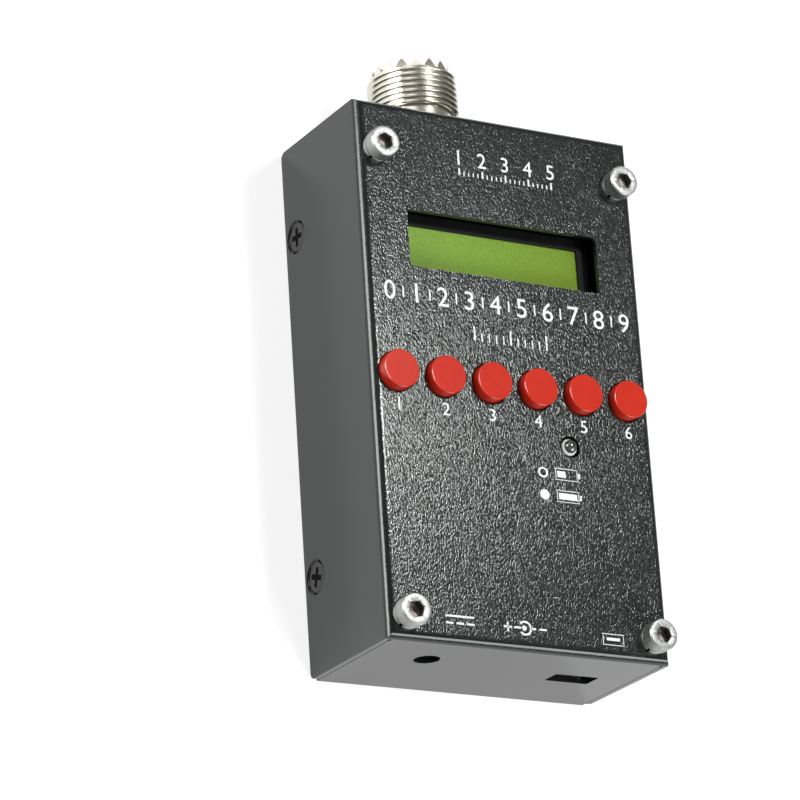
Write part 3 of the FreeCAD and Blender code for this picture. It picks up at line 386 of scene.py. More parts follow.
def smooth_coat(settings):
    """The same coat on the back cover, with a faint orange peel."""
    coat = Finish("smooth powder coat")
    peel = coat.noise(0.9 * MM, 3.0)
    patch = coat.noise(7 * MM, 3.0)
    coat.bump(peel, 0.01 * MM)
    colour = coat.tint(patch, settings.coat_colour, settings.coat_light)
    return coat.set(Base_Color=colour, Roughness=settings.roughness + 0.12 * peel, IOR=1.46)


def metal(name, dark, light, roughness, brushed=(1, 1, 1), scratch=0.004 * MM, stain_size=3 * MM):
    """Bare or plated metal with fine scratches and slight stains."""
    made = Finish(name)
    lines = made.noise(0.12 * MM, 3.0, 0.6, place=made.stretched(*brushed))
    stain = made.noise(stain_size, 3.0)
    made.bump(lines, scratch)
    return made.set(Base_Color=made.tint(stain, dark, light), Metallic=1.0,
                    Roughness=roughness + 0.12 * lines + 0.06 * stain)


def plastic(name, dark, light, roughness, grain=0.3 * MM, depth=0.006 * MM, ior=1.46):
    """Moulded plastic with a fine skin and slight colour variation."""
    made = Finish(name)
    skin = made.noise(grain, 3.0)
    patch = made.noise(grain * 14)
    made.bump(skin, depth)
    return made.set(Base_Color=made.tint(patch, dark, light), Roughness=roughness + 0.1 * skin,
                    IOR=ior)


def lamp_epoxy():
    """Clouded epoxy with a few waves in it."""
    made = Finish("clouded lamp epoxy")
    wave = made.noise(0.9 * MM)
    made.bump(wave, 0.005 * MM)
    return made.set(Base_Color=made.tint(wave, (0.03, 0.033, 0.03), (0.12, 0.13, 0.125)),
                    Roughness=0.03 + 0.05 * wave, IOR=1.9, Transmission_Weight=0.35)


def display_green(settings):
    """Reflective green display: painted lighter at the upper left, painted darker and yellower
    toward the lower right, as light and shade across it.
    """
    low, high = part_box("lcd_glass")
    made = Finish("green display")
    across = made.span(made.along("X"), low.x, high.x)
    down = made.span(made.along("Y"), high.y, low.y)
    sparkle = made.span(made.noise(0.30 * MM, 1.0), 0.3, 0.7)
    cloud = made.noise(6 * MM)
    # Painted light at the upper left and painted shade toward the lower right.
    colour = made.tint(across * 0.75 + down * 0.25, settings.colour_left, settings.colour_right)
    shaded = made.tint(sparkle * 0.40 + cloud * 0.1, colour, settings.colour_dark)
    made.bump(sparkle, 0.003 * MM)
    return made.set(Base_Color=shaded, Roughness=0.10 + 0.1 * sparkle, IOR=1.4)


def ink(settings):
    """White screen-printed ink, a little uneven."""
    made = Finish("white ink")
    wear = made.span(made.noise(0.35 * MM, 3.0), 0.35, 0.75)
    made.bump(wear, 0.008 * MM)
    return made.set(Base_Color=made.tint(wear, settings.ink_colour, settings.ink_worn),
                    Roughness=0.55 + 0.1 * wear)


def circuit_board(name, dark, light):
    """Solder mask with the traces showing through as paler lines."""
    made = Finish(name)
    weave = made.noise(0.5 * MM)
    rows_per_metre = 420.0
    routes = made.node("TexBrick", {"offset": 0.5}, {
        "Vector": made.place, "Scale": rows_per_metre, "Mortar Size": 0.06,
        "Mortar Smooth": 0.2}, "Fac")
    made.bump(routes * 0.6 + weave * 0.2, 0.02 * MM)
    colour = made.tint(routes, dark, light)
    return made.set(Base_Color=colour, Roughness=0.32 + 0.1 * weave)


# --- Settings ---

def a_colour(name, description, default):
    return FloatVectorProperty(name=name, description=description, default=default, subtype="COLOR",
                               size=3, min=0, max=1)


def a_length(name, description, default):
    return FloatProperty(name=name, description=description, default=default, subtype="DISTANCE",
                         unit="LENGTH", precision=5)


def a_share(name, description, default):
    return FloatProperty(name=name, description=description, default=default, subtype="FACTOR",
                         min=0, max=1)


def a_power(name, description, default):
    return FloatProperty(name=name, description=description, default=default, unit="POWER")


def a_count(name, description, default):
    return IntProperty(name=name, description=description, default=default, min=3)


class CaseSettings(bpy.types.PropertyGroup):
    """Powder coat of the folded case."""
    coat_colour: a_colour("Coat", "Powder coat", (0.0060, 0.0065, 0.0065))
    # Paler coat colour: painted highlight on the face's ridges, random paler patches elsewhere.
    coat_light: a_colour("Coat, light", "Its paler ridges", (0.022, 0.024, 0.024))
    sheen_colour: a_colour("Sheen", "Tint of its reflections", (0.93, 1.0, 0.955))
    grain_size: a_length("Grain size", "Size of one wrinkle on the face", 0.20 * MM)
    grain_depth: a_length("Grain depth", "Depth of the wrinkles", 0.017 * MM)
    edge_width: a_length("Edge width", "Width of the softened sheet edges", 0.10 * MM)
    roughness: a_share("Roughness", "Roughness of the coat", 0.14)


class KeySettings(bpy.types.PropertyGroup):
    """Round keys."""
    colour: a_colour("Colour", "Colour of the key caps", (0.50, 0.026, 0.011))
    colour_dark: a_colour("Colour, dark", "Their darker patches", (0.41, 0.018, 0.008))
    rounding: a_length("Rounding", "Radius of a cap's top edge", 0.20 * MM)
    dish: a_length("Dish", "How far the middle of the top is sunk", 0.01 * MM)
    foot_chamfer: a_length("Foot chamfer", "Chamfer round a cap's foot", 0.15 * MM)
    stem_radius: a_length("Stem radius", "Radius of the hole for the plunger", 1.7 * MM)


class ScrewSettings(bpy.types.PropertyGroup):
    """Socket cap screws in the face, and cross-recess screws in the walls."""
    head_radius: a_length("Head radius", "Radius of a cap head", 2.75 * MM)
    head_height: a_length("Head height", "Height of a cap head", 2.9 * MM)
    chamfer: a_length("Chamfer", "Chamfer round a cap head's top", 0.28 * MM)
    knurls: a_count("Knurls", "Grooves round a cap head", 48)
    knurl_depth: a_length("Knurl depth", "Depth of a groove", 0.10 * MM)
    hex_size: a_length("Hex size", "Hex socket, across flats", 2.5 * MM)
    hex_depth: a_length("Hex depth", "Depth of the hex socket", 1.6 * MM)
    shank_radius: a_length("Shank radius", "Radius of a screw's shank", 1.48 * MM)
    shank_length: a_length("Shank length", "Length of a face screw's shank", 8.0 * MM)
    cover_head_radius: a_length("Cover head radius", "A cover screw's head", 2.95 * MM)
    cover_head_rise: a_length("Cover head rise", "How far that head is domed", 0.14 * MM)
    cover_shank_length: a_length("Cover shank length", "A cover screw's shank", 5.9 * MM)
    cross_length: a_length("Cross length", "Length of the cross recess", 3.4 * MM)
    cross_width: a_length("Cross width", "Width of the cross recess", 0.95 * MM)
    cross_depth: a_length("Cross depth", "Depth of the cross recess", 1.2 * MM)
    steel_colour: a_colour("Steel", "Bright steel", (0.47, 0.48, 0.465))
    steel_dark: a_colour("Steel, dark", "Its stains", (0.30, 0.31, 0.30))
    # The hex socket's inside is painted darker than the steel: painted shade in the recess, with
    # stains.
    recess_colour: a_colour("Recess", "Inside the hex socket", (0.30, 0.28, 0.25))
    recess_dark: a_colour("Recess, dark", "The oil in it", (0.12, 0.11, 0.095))
    blackened_colour: a_colour("Blackened", "The cover screws", (0.10, 0.10, 0.102))
    blackened_dark: a_colour("Blackened, dark", "Their stains", (0.035, 0.035, 0.037))


class SocketSettings(bpy.types.PropertyGroup):
    """Threaded antenna socket."""
    thread_radius: a_length("Thread radius", "Radius over the thread's crests", 7.94 * MM)
    thread_depth: a_length("Thread depth", "Depth of the thread", 0.55 * MM)
    thread_pitch: a_length("Thread pitch", "From one turn to the next", 25.4 / 24 * MM)
    thread_start: a_length("Thread start", "Where the thread starts", 51.7 * MM)
    rim: a_length("Rim", "Where the socket's rim is", 59.0 * MM)
    rim_chamfer: a_length("Rim chamfer", "Chamfer on the first turn", 0.5 * MM)
    teeth: a_count("Teeth", "Teeth round the rim", 18)
    tooth_height: a_length("Tooth height", "Height of a tooth", 1.6 * MM)
    tooth_base: a_length("Tooth base", "Width of a tooth at its foot", 2.0 * MM)
    crown_turn: a_share("Crown turn", "How far the crown is turned, in teeth", 0.33)
    nickel_colour: a_colour("Nickel", "Nickel plating", (0.84, 0.82, 0.74))
    nickel_dark: a_colour("Nickel, dark", "Its stains", (0.72, 0.69, 0.60))


class DisplaySettings(bpy.types.PropertyGroup):
    """Green display."""
    # Painted light at the upper left and painted shade at the lower right of the display.
    colour_left: a_colour("Left", "Colour at the upper left", (0.252, 0.430, 0.068))
    colour_right: a_colour("Right", "Colour at the lower right", (0.178, 0.275, 0.024))
    colour_dark: a_colour("Dark", "Colour of the grain", (0.08, 0.165, 0.017))


class MarkSettings(bpy.types.PropertyGroup):
    """Plain numerals and scales on the face."""
    ink_colour: a_colour("Ink", "Colour of the ink", (0.78, 0.79, 0.79))
    ink_worn: a_colour("Ink, thin", "Colour where the ink is thin", (0.55, 0.56, 0.56))
    thickness: a_length("Thickness", "Thickness of the ink", 0.02 * MM)
    stroke: a_length("Stroke", "Width of a drawn line", 0.32 * MM)


class StageSettings(bpy.types.PropertyGroup):
    """Floor, light and camera."""
    camera_place: FloatVectorProperty(
        name="Camera", description="Where the camera is", size=3, subtype="XYZ", unit="LENGTH",
        default=(-0.3415, -0.2285, 0.5623))
    camera_turn: FloatVectorProperty(
        name="Camera turn", description="How the camera is turned", size=3, subtype="EULER",
        unit="ROTATION", default=[radians(angle) for angle in (21.654, -29.459, -4.09)])
    lens: FloatProperty(name="Lens", description="Focal length", default=180.37, unit="CAMERA")
    room_light: a_share("Room light", "Light from above", 0.2)
    horizon_light: a_share("Horizon light", "Light from the horizon and below", 0.35)
    side_light: a_power("Side light", "Tall lamp on the left", 2.2)
    far_light: a_power("Far light", "Soft lamp past the socket", 0.6)
    top_light: a_power("Top light", "Small lamp overhead", 1.2)
    front_light: a_power("Front light", "Soft lamp at the jack end", 3.4)
    floor_size: a_length("Floor size", "Half the floor's width", 1.6)


# --- Operators ---

class ANALYZER_OT_case(bpy.types.Operator):
    """Coat the folded case and its back cover"""
    bl_idname = "analyzer.case"
    bl_label = "Case"

    def execute(self, context):
        settings = context.scene.analyzer_case
        dress(wrinkle_coat(settings), ["front_case"], settings.edge_width)
        dress(smooth_coat(settings), ["back_cover"], settings.edge_width)
        return {"FINISHED"}


class ANALYZER_OT_keys(bpy.types.Operator):
    """Turn the six round key caps"""
    bl_idname = "analyzer.keys"
    bl_label = "Keys"

    def execute(self, context):
        settings = context.scene.analyzer_keys
        red = plastic("red key plastic", settings.colour, settings.colour_dark, 0.10,
                      grain=0.2 * MM, depth=0.002 * MM)
        foot, stem, dish = settings.foot_chamfer, settings.stem_radius, settings.dish
        flat_border = 0.08 * MM  # keeps the shading of the rounding off the top
        for number in KEY_NUMBERS:
            low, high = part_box(f"key_cap_{number}")
            stem_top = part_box(f"key_plunger_{number}")[1].z
            radius = (high.x - low.x) / 2
            profile = [(0, high.z - dish), (radius * 0.5, high.z - dish * 0.6),
                       (radius - settings.rounding - flat_border, high.z)]
            profile += rounded(radius, high.z, settings.rounding, 5)
            profile += [(radius, low.z + foot), (radius - foot, low.z), (stem, low.z),
                        (stem, stem_top), (0, stem_top)]
            middle = (low + high) / 2
            cap = moved(turned(profile, 72), shift((middle.x, middle.y, 0)))
            add_piece(f"round_key_{number}", cap, [red], f"key_{number}",
                      [f"key_cap_{number}"])
        dark = plastic("black switch plastic", (0.012, 0.012, 0.013), (0.022, 0.022, 0.024), 0.4)
        dress(dark, [f"key_plunger_{number}" for number in KEY_NUMBERS] + ["key_switch_bodies"])
        return {"FINISHED"}


def cap_screw(settings, hex_turn):
    """Socket cap screw that stands on z = 0: knurled head, hex socket with a drill point, shank."""
    bm = bmesh.new()
    radius, top, groove = settings.head_radius, settings.head_height, settings.knurl_depth
    chamfer, lead = settings.chamfer, 0.12 * MM
    shoulder, floor = top - chamfer, top - settings.hex_depth
    size, corner = settings.hex_size, settings.hex_size / sqrt(3)
    count = 2 * settings.knurls
    outside = [
        # radius, height, depth of the knurls
        (settings.shank_radius, -settings.shank_length, 0),
        (settings.shank_radius, 0, 0),
        (radius - 0.55 * MM, 0, 0),
        (radius - 0.12 * MM, 0.42 * MM, 0),
        (radius, 0.55 * MM, groove),
        (radius, shoulder - 0.22 * MM, groove),
        (radius - 0.02 * MM, shoulder - 0.05 * MM, 0),
        (radius - 0.05 * MM, shoulder + 0.04 * MM, 0),
        (radius - chamfer * 0.8, top - 0.03 * MM, 0),
        (radius - chamfer * 1.3, top, 0),
        (corner + lead, top, 0),
    ]
    inside = [(size + 1.2 * lead, top - 0.6 * lead), (size, top - 1.6 * lead), (size, floor)]
    rings = [ring_edges(bm, reach, height, count, notch) for reach, height, notch in outside]
    rings += [hex_ring(bm, across, height, count, hex_turn) for across, height in inside]
    rings.append(ring_edges(bm, size * 0.44, floor - 0.04 * MM, count))
    bridge_rings(bm, rings)
    close_ring(bm, rings[0])
    close_ring(bm, rings[-1], drop=0.45 * MM)
    face_out(bm)
    # Faces deep in the hex socket get the darker second finish: painted shade.
    second_finish(bm, lambda reach, height: (
        reach < corner and floor - lead * 5 < height < top - lead))
    return bm


class ANALYZER_OT_face_screws(bpy.types.Operator):
    """Turn the four socket cap screws in the face"""
    bl_idname = "analyzer.face_screws"
    bl_label = "Face screws"

    def execute(self, context):
        settings = context.scene.analyzer_screws
        low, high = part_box("face_screws")
        seat = high.z - settings.head_height
        inset = settings.head_radius
        hex_turns = (11.25, 48.75, 33.75, 3.75)
        places = [(x, y, seat) for y in (low.y + inset, high.y - inset)
                  for x in (low.x + inset, high.x - inset)]
        screws = [moved(cap_screw(settings, radians(turn)), shift(place))
                  for place, turn in zip(places, hex_turns)]
        steel = metal("bright steel", settings.steel_dark, settings.steel_colour, 0.36,
                      brushed=(0.6, 0.6, 0.6), scratch=0.018 * MM, stain_size=0.5 * MM)
        # Darker metal for the hex socket: painted shade.
        recess = metal("shaded recess", settings.recess_dark, settings.recess_colour, 0.42)
        add_piece("cap_screws", gather(screws), [steel, recess], "case",
                  ["face_screws"], sharp=30)
        dress(steel, ["spring_washers", "socket_lock_washer"], 0.06 * MM)
        return {"FINISHED"}


def cover_screw(settings):
    """Countersunk screw whose head faces +Z at z = 0, with a tapered cross recess."""
    bm = bmesh.new()
    radius, rise = settings.cover_head_radius, settings.cover_head_rise
    shank, groove_floor, count = settings.shank_radius, -0.45 * MM, 48
    outside = [(shank, -settings.cover_shank_length), (shank, shank - radius),
               (radius - 0.10 * MM, groove_floor), (radius - 0.26 * MM, groove_floor),
               (radius - 0.28 * MM, -rise - 0.05 * MM)]
    outside += [(radius * share, -rise * share * share) for share in (0.89, 0.85, 0.7)]
    length, width, depth = settings.cross_length, settings.cross_width, settings.cross_depth
    crown = -rise * 0.25
    inside = [(length, width, crown), (length * 0.95, width * 0.85, crown - 0.08 * MM),
              (length * 0.45, width * 0.6, -depth)]
    rings = [ring_edges(bm, reach, height, count) for reach, height in outside]
    rings += [cross_ring(bm, *cross, count) for cross in inside]
    bridge_rings(bm, rings)
    close_ring(bm, rings[0])
    close_ring(bm, rings[-1], drop=0.2 * MM)
    face_out(bm)
    # Faces deep in the cross and in the groove round the head get the near-black second finish:
    # painted shade.
    second_finish(bm, lambda reach, height: (
        reach < length * 0.52 and height < crown - 0.02 * MM
        or reach > radius - 0.29 * MM and -0.5 * MM < height < -rise - 0.03 * MM))
    return bm


class ANALYZER_OT_cover_screws(bpy.types.Operator):
    """Turn the four cross-recess screws that hold the back cover"""
    bl_idname = "analyzer.cover_screws"
    bl_label = "Cover screws"

    def execute(self, context):
        settings = context.scene.analyzer_screws
        low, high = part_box("cover_screws")
        inset = (high.z - low.z) / 2
        middle_z = (low.z + high.z) / 2
        screws = []
        for side, face in ((-1, low.x), (1, high.x)):
            outward = Matrix.Rotation(radians(90 * side), 4, "Y")
            for y, turn in ((low.y + inset, 72), (high.y - inset, 87)):
                spin = Matrix.Rotation(radians(turn), 4, "Z")
                place = shift((face, y, middle_z)) @ outward @ spin
                screws.append(moved(cover_screw(settings), place))
        black = metal("blackened steel", settings.blackened_dark, settings.blackened_colour, 0.30)
        # Near-black finish for the cross recess and the groove round the head: painted shade.
        shade_black = plastic("painted shade black", (0.003, 0.003, 0.003), (0.007, 0.007, 0.007), 0.7, ior=1.12)
        add_piece("cross_screws", gather(screws), [black, shade_black], "case",
                  ["cover_screws"], sharp=30)
        return {"FINISHED"}


def threaded_shell(settings, axis_low):
    """Socket shell with its axis along Z: bush, collar, neck, one running thread and the mouth."""
    crest = settings.thread_radius
    root = crest - settings.thread_depth
    pitch, start, rim = settings.thread_pitch, settings.thread_start, settings.rim
    steps, soft = 96, 0.06 * MM
    # One turn of the thread: radius, and part of the pitch.
    section = [(root, 0), (root, 0.08), (root + soft, 0.13), (crest - soft, 0.40), (crest, 0.46),
               (crest, 0.54), (crest - soft, 0.60), (root + soft, 0.87), (root, 0.92), (root, 1)]
    turns = int((rim - start) / pitch) + 3
    thread = [(radius, start - pitch + part * pitch) for radius, part in section]
    bm = swept(thread, steps, turns, dvec=(0, 0, pitch / steps))
    bmesh.ops.remove_doubles(bm, verts=bm.verts, dist=2 * TOLERANCE)
    for level, side in ((start, -1), (rim, 1)):
        bmesh.ops.bisect_plane(bm, geom=bm.verts[:] + bm.edges[:] + bm.faces[:],
                               plane_co=(0, 0, level), plane_no=(0, 0, side), clear_outer=True,
                               dist=MERGE_DISTANCE)
    run_out, first_depth = 2.2, 0.05 * MM
    for point in bm.verts:
        chamfered = crest - (point.co.z - rim + settings.rim_chamfer)
        started = root + run_out * (point.co.z - start) + first_depth
        limit = max(root, min(chamfered, started))
        reach = hypot(point.co.x, point.co.y)
        if reach > limit:
            pull_in(point, limit / reach)
    wall = CASE_HIGH.y
    mouth, bore, bush, neck, collar = 6.0 * MM, 4.6 * MM, 6.0 * MM, 6.9 * MM, 7.8 * MM
    floor, collar_top, edge = 49.0 * MM, wall + 1.4 * MM, 0.15 * MM
    profile = [(mouth, rim), (mouth, floor), (bore, floor), (bore, axis_low), (bush, axis_low),
               (bush, wall), (collar - edge, wall), (collar, wall + edge),
               (collar, collar_top - edge), (collar - edge, collar_top), (neck + edge, collar_top),
               (neck, collar_top + edge), (neck, start)]
    shell = gather([bm, turned(profile, steps)])
    for level in (start, rim):
        bmesh.ops.bridge_loops(shell, edges=open_edges(shell, level))
    face_out(shell)
    return shell


def rim_tooth(settings, angle):
    """One pointed tooth on the rim."""
    inner, outer, foot = 6.1 * MM, 7.35 * MM, 0.2 * MM
    middle, rim, height = (inner + outer) / 2, settings.rim, settings.tooth_height
    tooth = bmesh.new()
    place = shift((middle, 0, rim + (height - foot) / 2))
    size = Matrix.Diagonal((outer - inner, settings.tooth_base, height + foot, 1))
    bmesh.ops.create_cube(tooth, size=1, matrix=place @ size)
    upright = [edge for edge in tooth.edges
               if abs(edge.verts[0].co.z - edge.verts[1].co.z) > foot]
    bmesh.ops.subdivide_edges(tooth, edges=upright, cuts=5, use_grid_fill=True)
    sharpness, thinning = 1.35, 0.25
    for point in tooth.verts:
        share = max(0, (point.co.z - rim) / height)
        point.co.y *= 1.04 - share ** sharpness
        point.co.x += (middle - point.co.x) * thinning * share
    sharp = [edge for edge in tooth.edges
             if edge.is_manifold and edge.calc_face_angle(0) > SHARP_EDGE]
    bmesh.ops.bevel(tooth, geom=sharp, offset=0.05 * MM, offset_type="OFFSET", segments=1,
                    profile=0.5, affect="EDGES", material=-1, clamp_overlap=True)
    return moved(tooth, Matrix.Rotation(angle, 4, "Z"))


class ANALYZER_OT_antenna_socket(bpy.types.Operator):
    """Turn the threaded antenna socket with its crown of teeth"""
    bl_idname = "analyzer.antenna_socket"
    bl_label = "Antenna socket"

    def execute(self, context):
        settings = context.scene.analyzer_socket
        low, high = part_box("socket_shell")
        middle = (low + high) / 2
        tooth_turn = FULL_TURN / settings.teeth
        parts = [threaded_shell(settings, low.y)]
        parts += [rim_tooth(settings, tooth_turn * (number + settings.crown_turn))
                  for number in range(settings.teeth)]
        shell = moved(gather(parts), shift((middle.x, 0, middle.z)) @ ALONG_Y)
        nickel = metal("nickel plating", settings.nickel_dark, settings.nickel_colour, 0.12,
                       brushed=(1, 6, 1))
        add_piece("threaded_socket", shell, [nickel], "case", ["socket_shell"], sharp=32)
        dress(nickel, ["socket_contact", "socket_nut", "dc_socket_pin"], 0.08 * MM)
        white = plastic("white socket plastic", (0.70, 0.69, 0.66), (0.78, 0.77, 0.74), 0.35)
        dress(white, ["socket_insulator"], 0.1 * MM)
        return {"FINISHED"}


class ANALYZER_OT_display(bpy.types.Operator):
    """Finish the display behind the window"""
    bl_idname = "analyzer.display"
    bl_label = "Display"

    def execute(self, context):
        settings = context.scene.analyzer_display
        dress(display_green(settings), ["lcd_glass"])
        black = plastic("black painted frame", (0.005, 0.006, 0.005), (0.010, 0.011, 0.010), 0.5,
                        ior=1.2)
        dress(black, ["lcd_frame"], 0.08 * MM)
        light = plastic("backlight diffuser", (0.62, 0.64, 0.58), (0.72, 0.74, 0.68), 0.5)
        dress(light, ["lcd_backlight"])
        return {"FINISHED"}


class ANALYZER_OT_lamp(bpy.types.Operator):
    """Cast the clouded charge lamp over its cup, with a pale ledge round its dome whose colour is a
    painted highlight
    """
    bl_idname = "analyzer.lamp"
    bl_label = "Charge lamp"

    def execute(self, context):
        low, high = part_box("charge_lamp")
        middle = (low + high) / 2
        rim, rim_top = (high.x - low.x) / 2, low.z + 0.8 * MM
        body, dome = rim - 0.3 * MM, 1.15 * MM
        ledge_top, ledge_foot = FACE_LEVEL - 0.01 * MM, FACE_LEVEL - 0.40 * MM
        profile = rounded(dome, high.z, high.z - FACE_LEVEL, 10)
        profile += [(dome + 0.02 * MM, ledge_top), (body - 0.04 * MM, ledge_foot + 0.08 * MM),
                    (body, ledge_foot), (body, rim_top), (rim, rim_top), (rim, low.z), (0, low.z)]
        lamp = turned(profile, 48)
        # The ledge round the dome gets the pale second finish: a painted highlight round the dome.
        second_finish(lamp, lambda reach, height: reach > dome and height > ledge_foot - 0.1 * MM)
        at_lamp = shift((middle.x, middle.y, 0))
        # Pale ledge colour: painted highlight.
        ledge_highlight = plastic("pale lamp ledge", (0.55, 0.56, 0.55), (0.70, 0.71, 0.70), 0.25)
        add_piece("lamp_dome", moved(lamp, at_lamp), [lamp_epoxy(), ledge_highlight], "case",
                  ["charge_lamp"])
        top, stem_foot = high.z - 2.0 * MM, low.z + 0.2 * MM
        well, outside, stem = 0.25 * MM, 0.68 * MM, 0.3 * MM
        cup = turned([(0, top - 0.45 * MM), (well, top - 0.45 * MM), (0.55 * MM, top),
                      (outside, top), (outside, top - 0.6 * MM), (stem, top - 1.0 * MM),
                      (stem, stem_foot), (0, stem_foot)], 24)
        tin = metal("tinned copper", (0.55, 0.55, 0.53), (0.68, 0.68, 0.66), 0.25)
        add_piece("lamp_cup", moved(cup, at_lamp), [tin], "case")
        dress(tin, ["charge_lamp_leads", "key_switch_legs", "socket_wire", "usb_shell",
                    "power_switch_blades", "clock_can"])
        return {"FINISHED"}


class ANALYZER_OT_jacks(bpy.types.Operator):
    """Finish the DC and USB sockets and the power switch"""
    bl_idname = "analyzer.jacks"
    bl_label = "Jacks and power switch"

    def execute(self, context):
        black = plastic("black socket plastic", (0.012, 0.012, 0.013), (0.02, 0.02, 0.021), 0.38)
        dress(black, ["dc_socket_body", "usb_tongue"], 0.1 * MM)
        gloss = plastic("black rocker plastic", (0.010, 0.010, 0.011), (0.016, 0.016, 0.017), 0.22)
        dress(gloss, ["power_switch_frame", "power_rocker"], 0.15 * MM)
        return {"FINISHED"}


class ANALYZER_OT_inside(bpy.types.Operator):
    """Finish the boards, cell, wires and parts inside the case"""
    bl_idname = "analyzer.inside"
    bl_label = "Inside"

    def execute(self, context):
        dress(circuit_board("green solder mask", (0.006, 0.075, 0.03), (0.02, 0.16, 0.06)),
              ["main_board"])
        dress(circuit_board("black solder mask", (0.006, 0.008, 0.006), (0.018, 0.024, 0.018)),
              ["lcd_board"])
        dress(metal("brass", (0.62, 0.44, 0.17), (0.72, 0.54, 0.24), 0.25), ["board_pillars"])
        dress(plastic("chip moulding", (0.014, 0.014, 0.015), (0.025, 0.025, 0.027), 0.5,
                      grain=0.15 * MM),
              ["microcontroller", "synthesizer_chip", "amplifier_chip", "charger_chip",
               "small_parts", "lcd_header"])
        dress(plastic("ferrite", (0.03, 0.03, 0.032), (0.055, 0.055, 0.058), 0.6,
                      grain=0.1 * MM, depth=0.02 * MM), ["choke"])
        dress(metal("cell foil", (0.50, 0.51, 0.53), (0.66, 0.67, 0.69), 0.32, scratch=0.02 * MM),
              ["cell"])
        dress(plastic("grey foam", (0.05, 0.05, 0.05), (0.09, 0.09, 0.09), 0.85,
                      grain=0.4 * MM, depth=0.08 * MM), ["cell_pad"])
        dress(plastic("white plug plastic", (0.68, 0.67, 0.62), (0.76, 0.75, 0.70), 0.4),
              ["cell_plug", "cell_plug_header"])
        dress(plastic("red wire sleeve", (0.45, 0.012, 0.01), (0.55, 0.02, 0.015), 0.4),
              ["cell_lead_red", "power_switch_wire_left", "power_switch_wire_right"])
        dress(plastic("black wire sleeve", (0.012, 0.012, 0.012), (0.02, 0.02, 0.02), 0.42),
              ["cell_lead_black"])
        return {"FINISHED"}


class Print:
    """Flat marks that are drawn on z = 0 in millimetres, then given the thickness of ink."""

    def __init__(self, stroke):
        self.bm = bmesh.new()
        self.stroke = stroke / MM

    def bar(self, x_low, x_high, y_low, y_high):
        """Filled rectangle."""
        place = shift(((x_low + x_high) / 2, (y_low + y_high) / 2, 0))
        size = Matrix.Diagonal(((x_high - x_low) / 2, (y_high - y_low) / 2, 1, 1))
        bmesh.ops.create_grid(self.bm, x_segments=1, y_segments=1, size=1, matrix=place @ size)

    def tick(self, x, y, height, width=None):
        """Upright line."""
        half = (width or self.stroke) / 2
        self.bar(x - half, x + half, y, y + height)

    def dash(self, x, y, length, width=None):
        """Level line."""
        half = (width or self.stroke) / 2
        self.bar(x, x + length, y - half, y + half)

    def box(self, x_low, x_high, y_low, y_high, width=None):
        """Outline of a rectangle."""
        w = width or self.stroke
        self.bar(x_low, x_high, y_low, y_low + w)
        self.bar(x_low, x_high, y_high - w, y_high)
        self.bar(x_low, x_low + w, y_low + w, y_high - w)
        self.bar(x_high - w, x_high, y_low + w, y_high - w)

    def disc(self, x, y, radius):
        """Filled circle."""
        bmesh.ops.create_circle(self.bm, cap_ends=True, radius=radius, segments=24,
                                matrix=shift((x, y, 0)))

    def ring(self, x, y, radius, gap=0.0):
        """Open or closed circle; gap is the part left open on its left, in degrees."""
        start = radians(180 + gap / 2)
        ends = [self.bm.verts.new((x + reach * cos(start), y + reach * sin(start), 0))
                for reach in (radius, radius + self.stroke)]
        bmesh.ops.spin(self.bm, geom=[*ends, self.bm.edges.new(ends)], cent=(x, y, 0),
                       axis=(0, 0, 1), angle=radians(360 - gap), steps=32, use_merge=not gap)

    def text(self, words, x, y, height):
        """Numerals centred on x, standing on y."""
        curve = bpy.data.curves.new("numerals", "FONT")
        curve.body = words
        curve.align_x = "CENTER"
        curve.resolution_u = 4
        holder = bpy.data.objects.new("numerals", curve)
        flat = bpy.data.meshes.new_from_object(holder)
        levels = [point.co.y for point in flat.vertices]
        scale = Matrix.Scale(height / (max(levels) - min(levels)), 4)
        flat.transform(shift((x, y, 0)) @ scale @ shift((0, -min(levels), 0)))
        self.bm.from_mesh(flat)
        bpy.data.objects.remove(holder)
        bpy.data.curves.remove(curve)
        bpy.data.meshes.remove(flat)

    def finished(self, thickness, place):
        """The marks as thin closed solids, in place."""
        bmesh.ops.remove_doubles(self.bm, verts=self.bm.verts, dist=1e-4)
        for face in self.bm.faces:
            if face.normal.z < 0:
                face.normal_flip()
        bmesh.ops.solidify(self.bm, geom=self.bm.faces[:], thickness=-thickness / MM)
        face_out(self.bm)
        return moved(self.bm, place @ Matrix.Scale(MM, 4))


def draw_scales(marks):
    """Short scale over the window, long scale under it, and fine ticks over the keys."""
    start, pitch, base, parts = -7.6, 4.6, 36.1, 5
    for k in range(5):
        x = start + pitch * k
        marks.text(str(k + 1), x, y=38.0, height=2.7)
        marks.tick(x, base, height=1.3)
        for part in range(1, parts) if k < 4 else ():
            marks.tick(x + pitch * part / parts, base, height=0.75, width=0.2)
    start, pitch = -22.9, 5.15
    for k in range(10):
        x = start + pitch * k
        marks.text(str(k), x, y=11.4, height=3.4)
        if k < 9:
            marks.tick(x + pitch / 2, y=12.1, height=2.0, width=0.26)
    start, pitch = -6.9, 1.42
    for k in range(11):
        height, width = (2.6, 0.3) if k % 5 == 0 else (1.5, 0.22)
        marks.tick(start + pitch * k, 6.0, height, width)


def draw_lamp_marks(marks):
    """An open sign with a cell that is filling, and a filled sign with a full cell."""
    left, length, height, inset, knob = 6.9, 4.6, 2.1, 0.5, 0.4
    sign, filling, full = 4.6, -17.1, -21.0
    right = left + length
    for y, charge in ((filling, 0.45), (full, 1.0)):
        marks.box(left, right, y, y + height, width=0.26)
        marks.bar(right, right + knob, y + 0.6, y + height - 0.6)
        marks.bar(left + inset, left + inset + (length - 2 * inset) * charge,
                  y + inset, y + height - inset)
    marks.ring(sign, filling + height / 2, radius=0.62)
    marks.disc(sign, full + height / 2, radius=0.9)


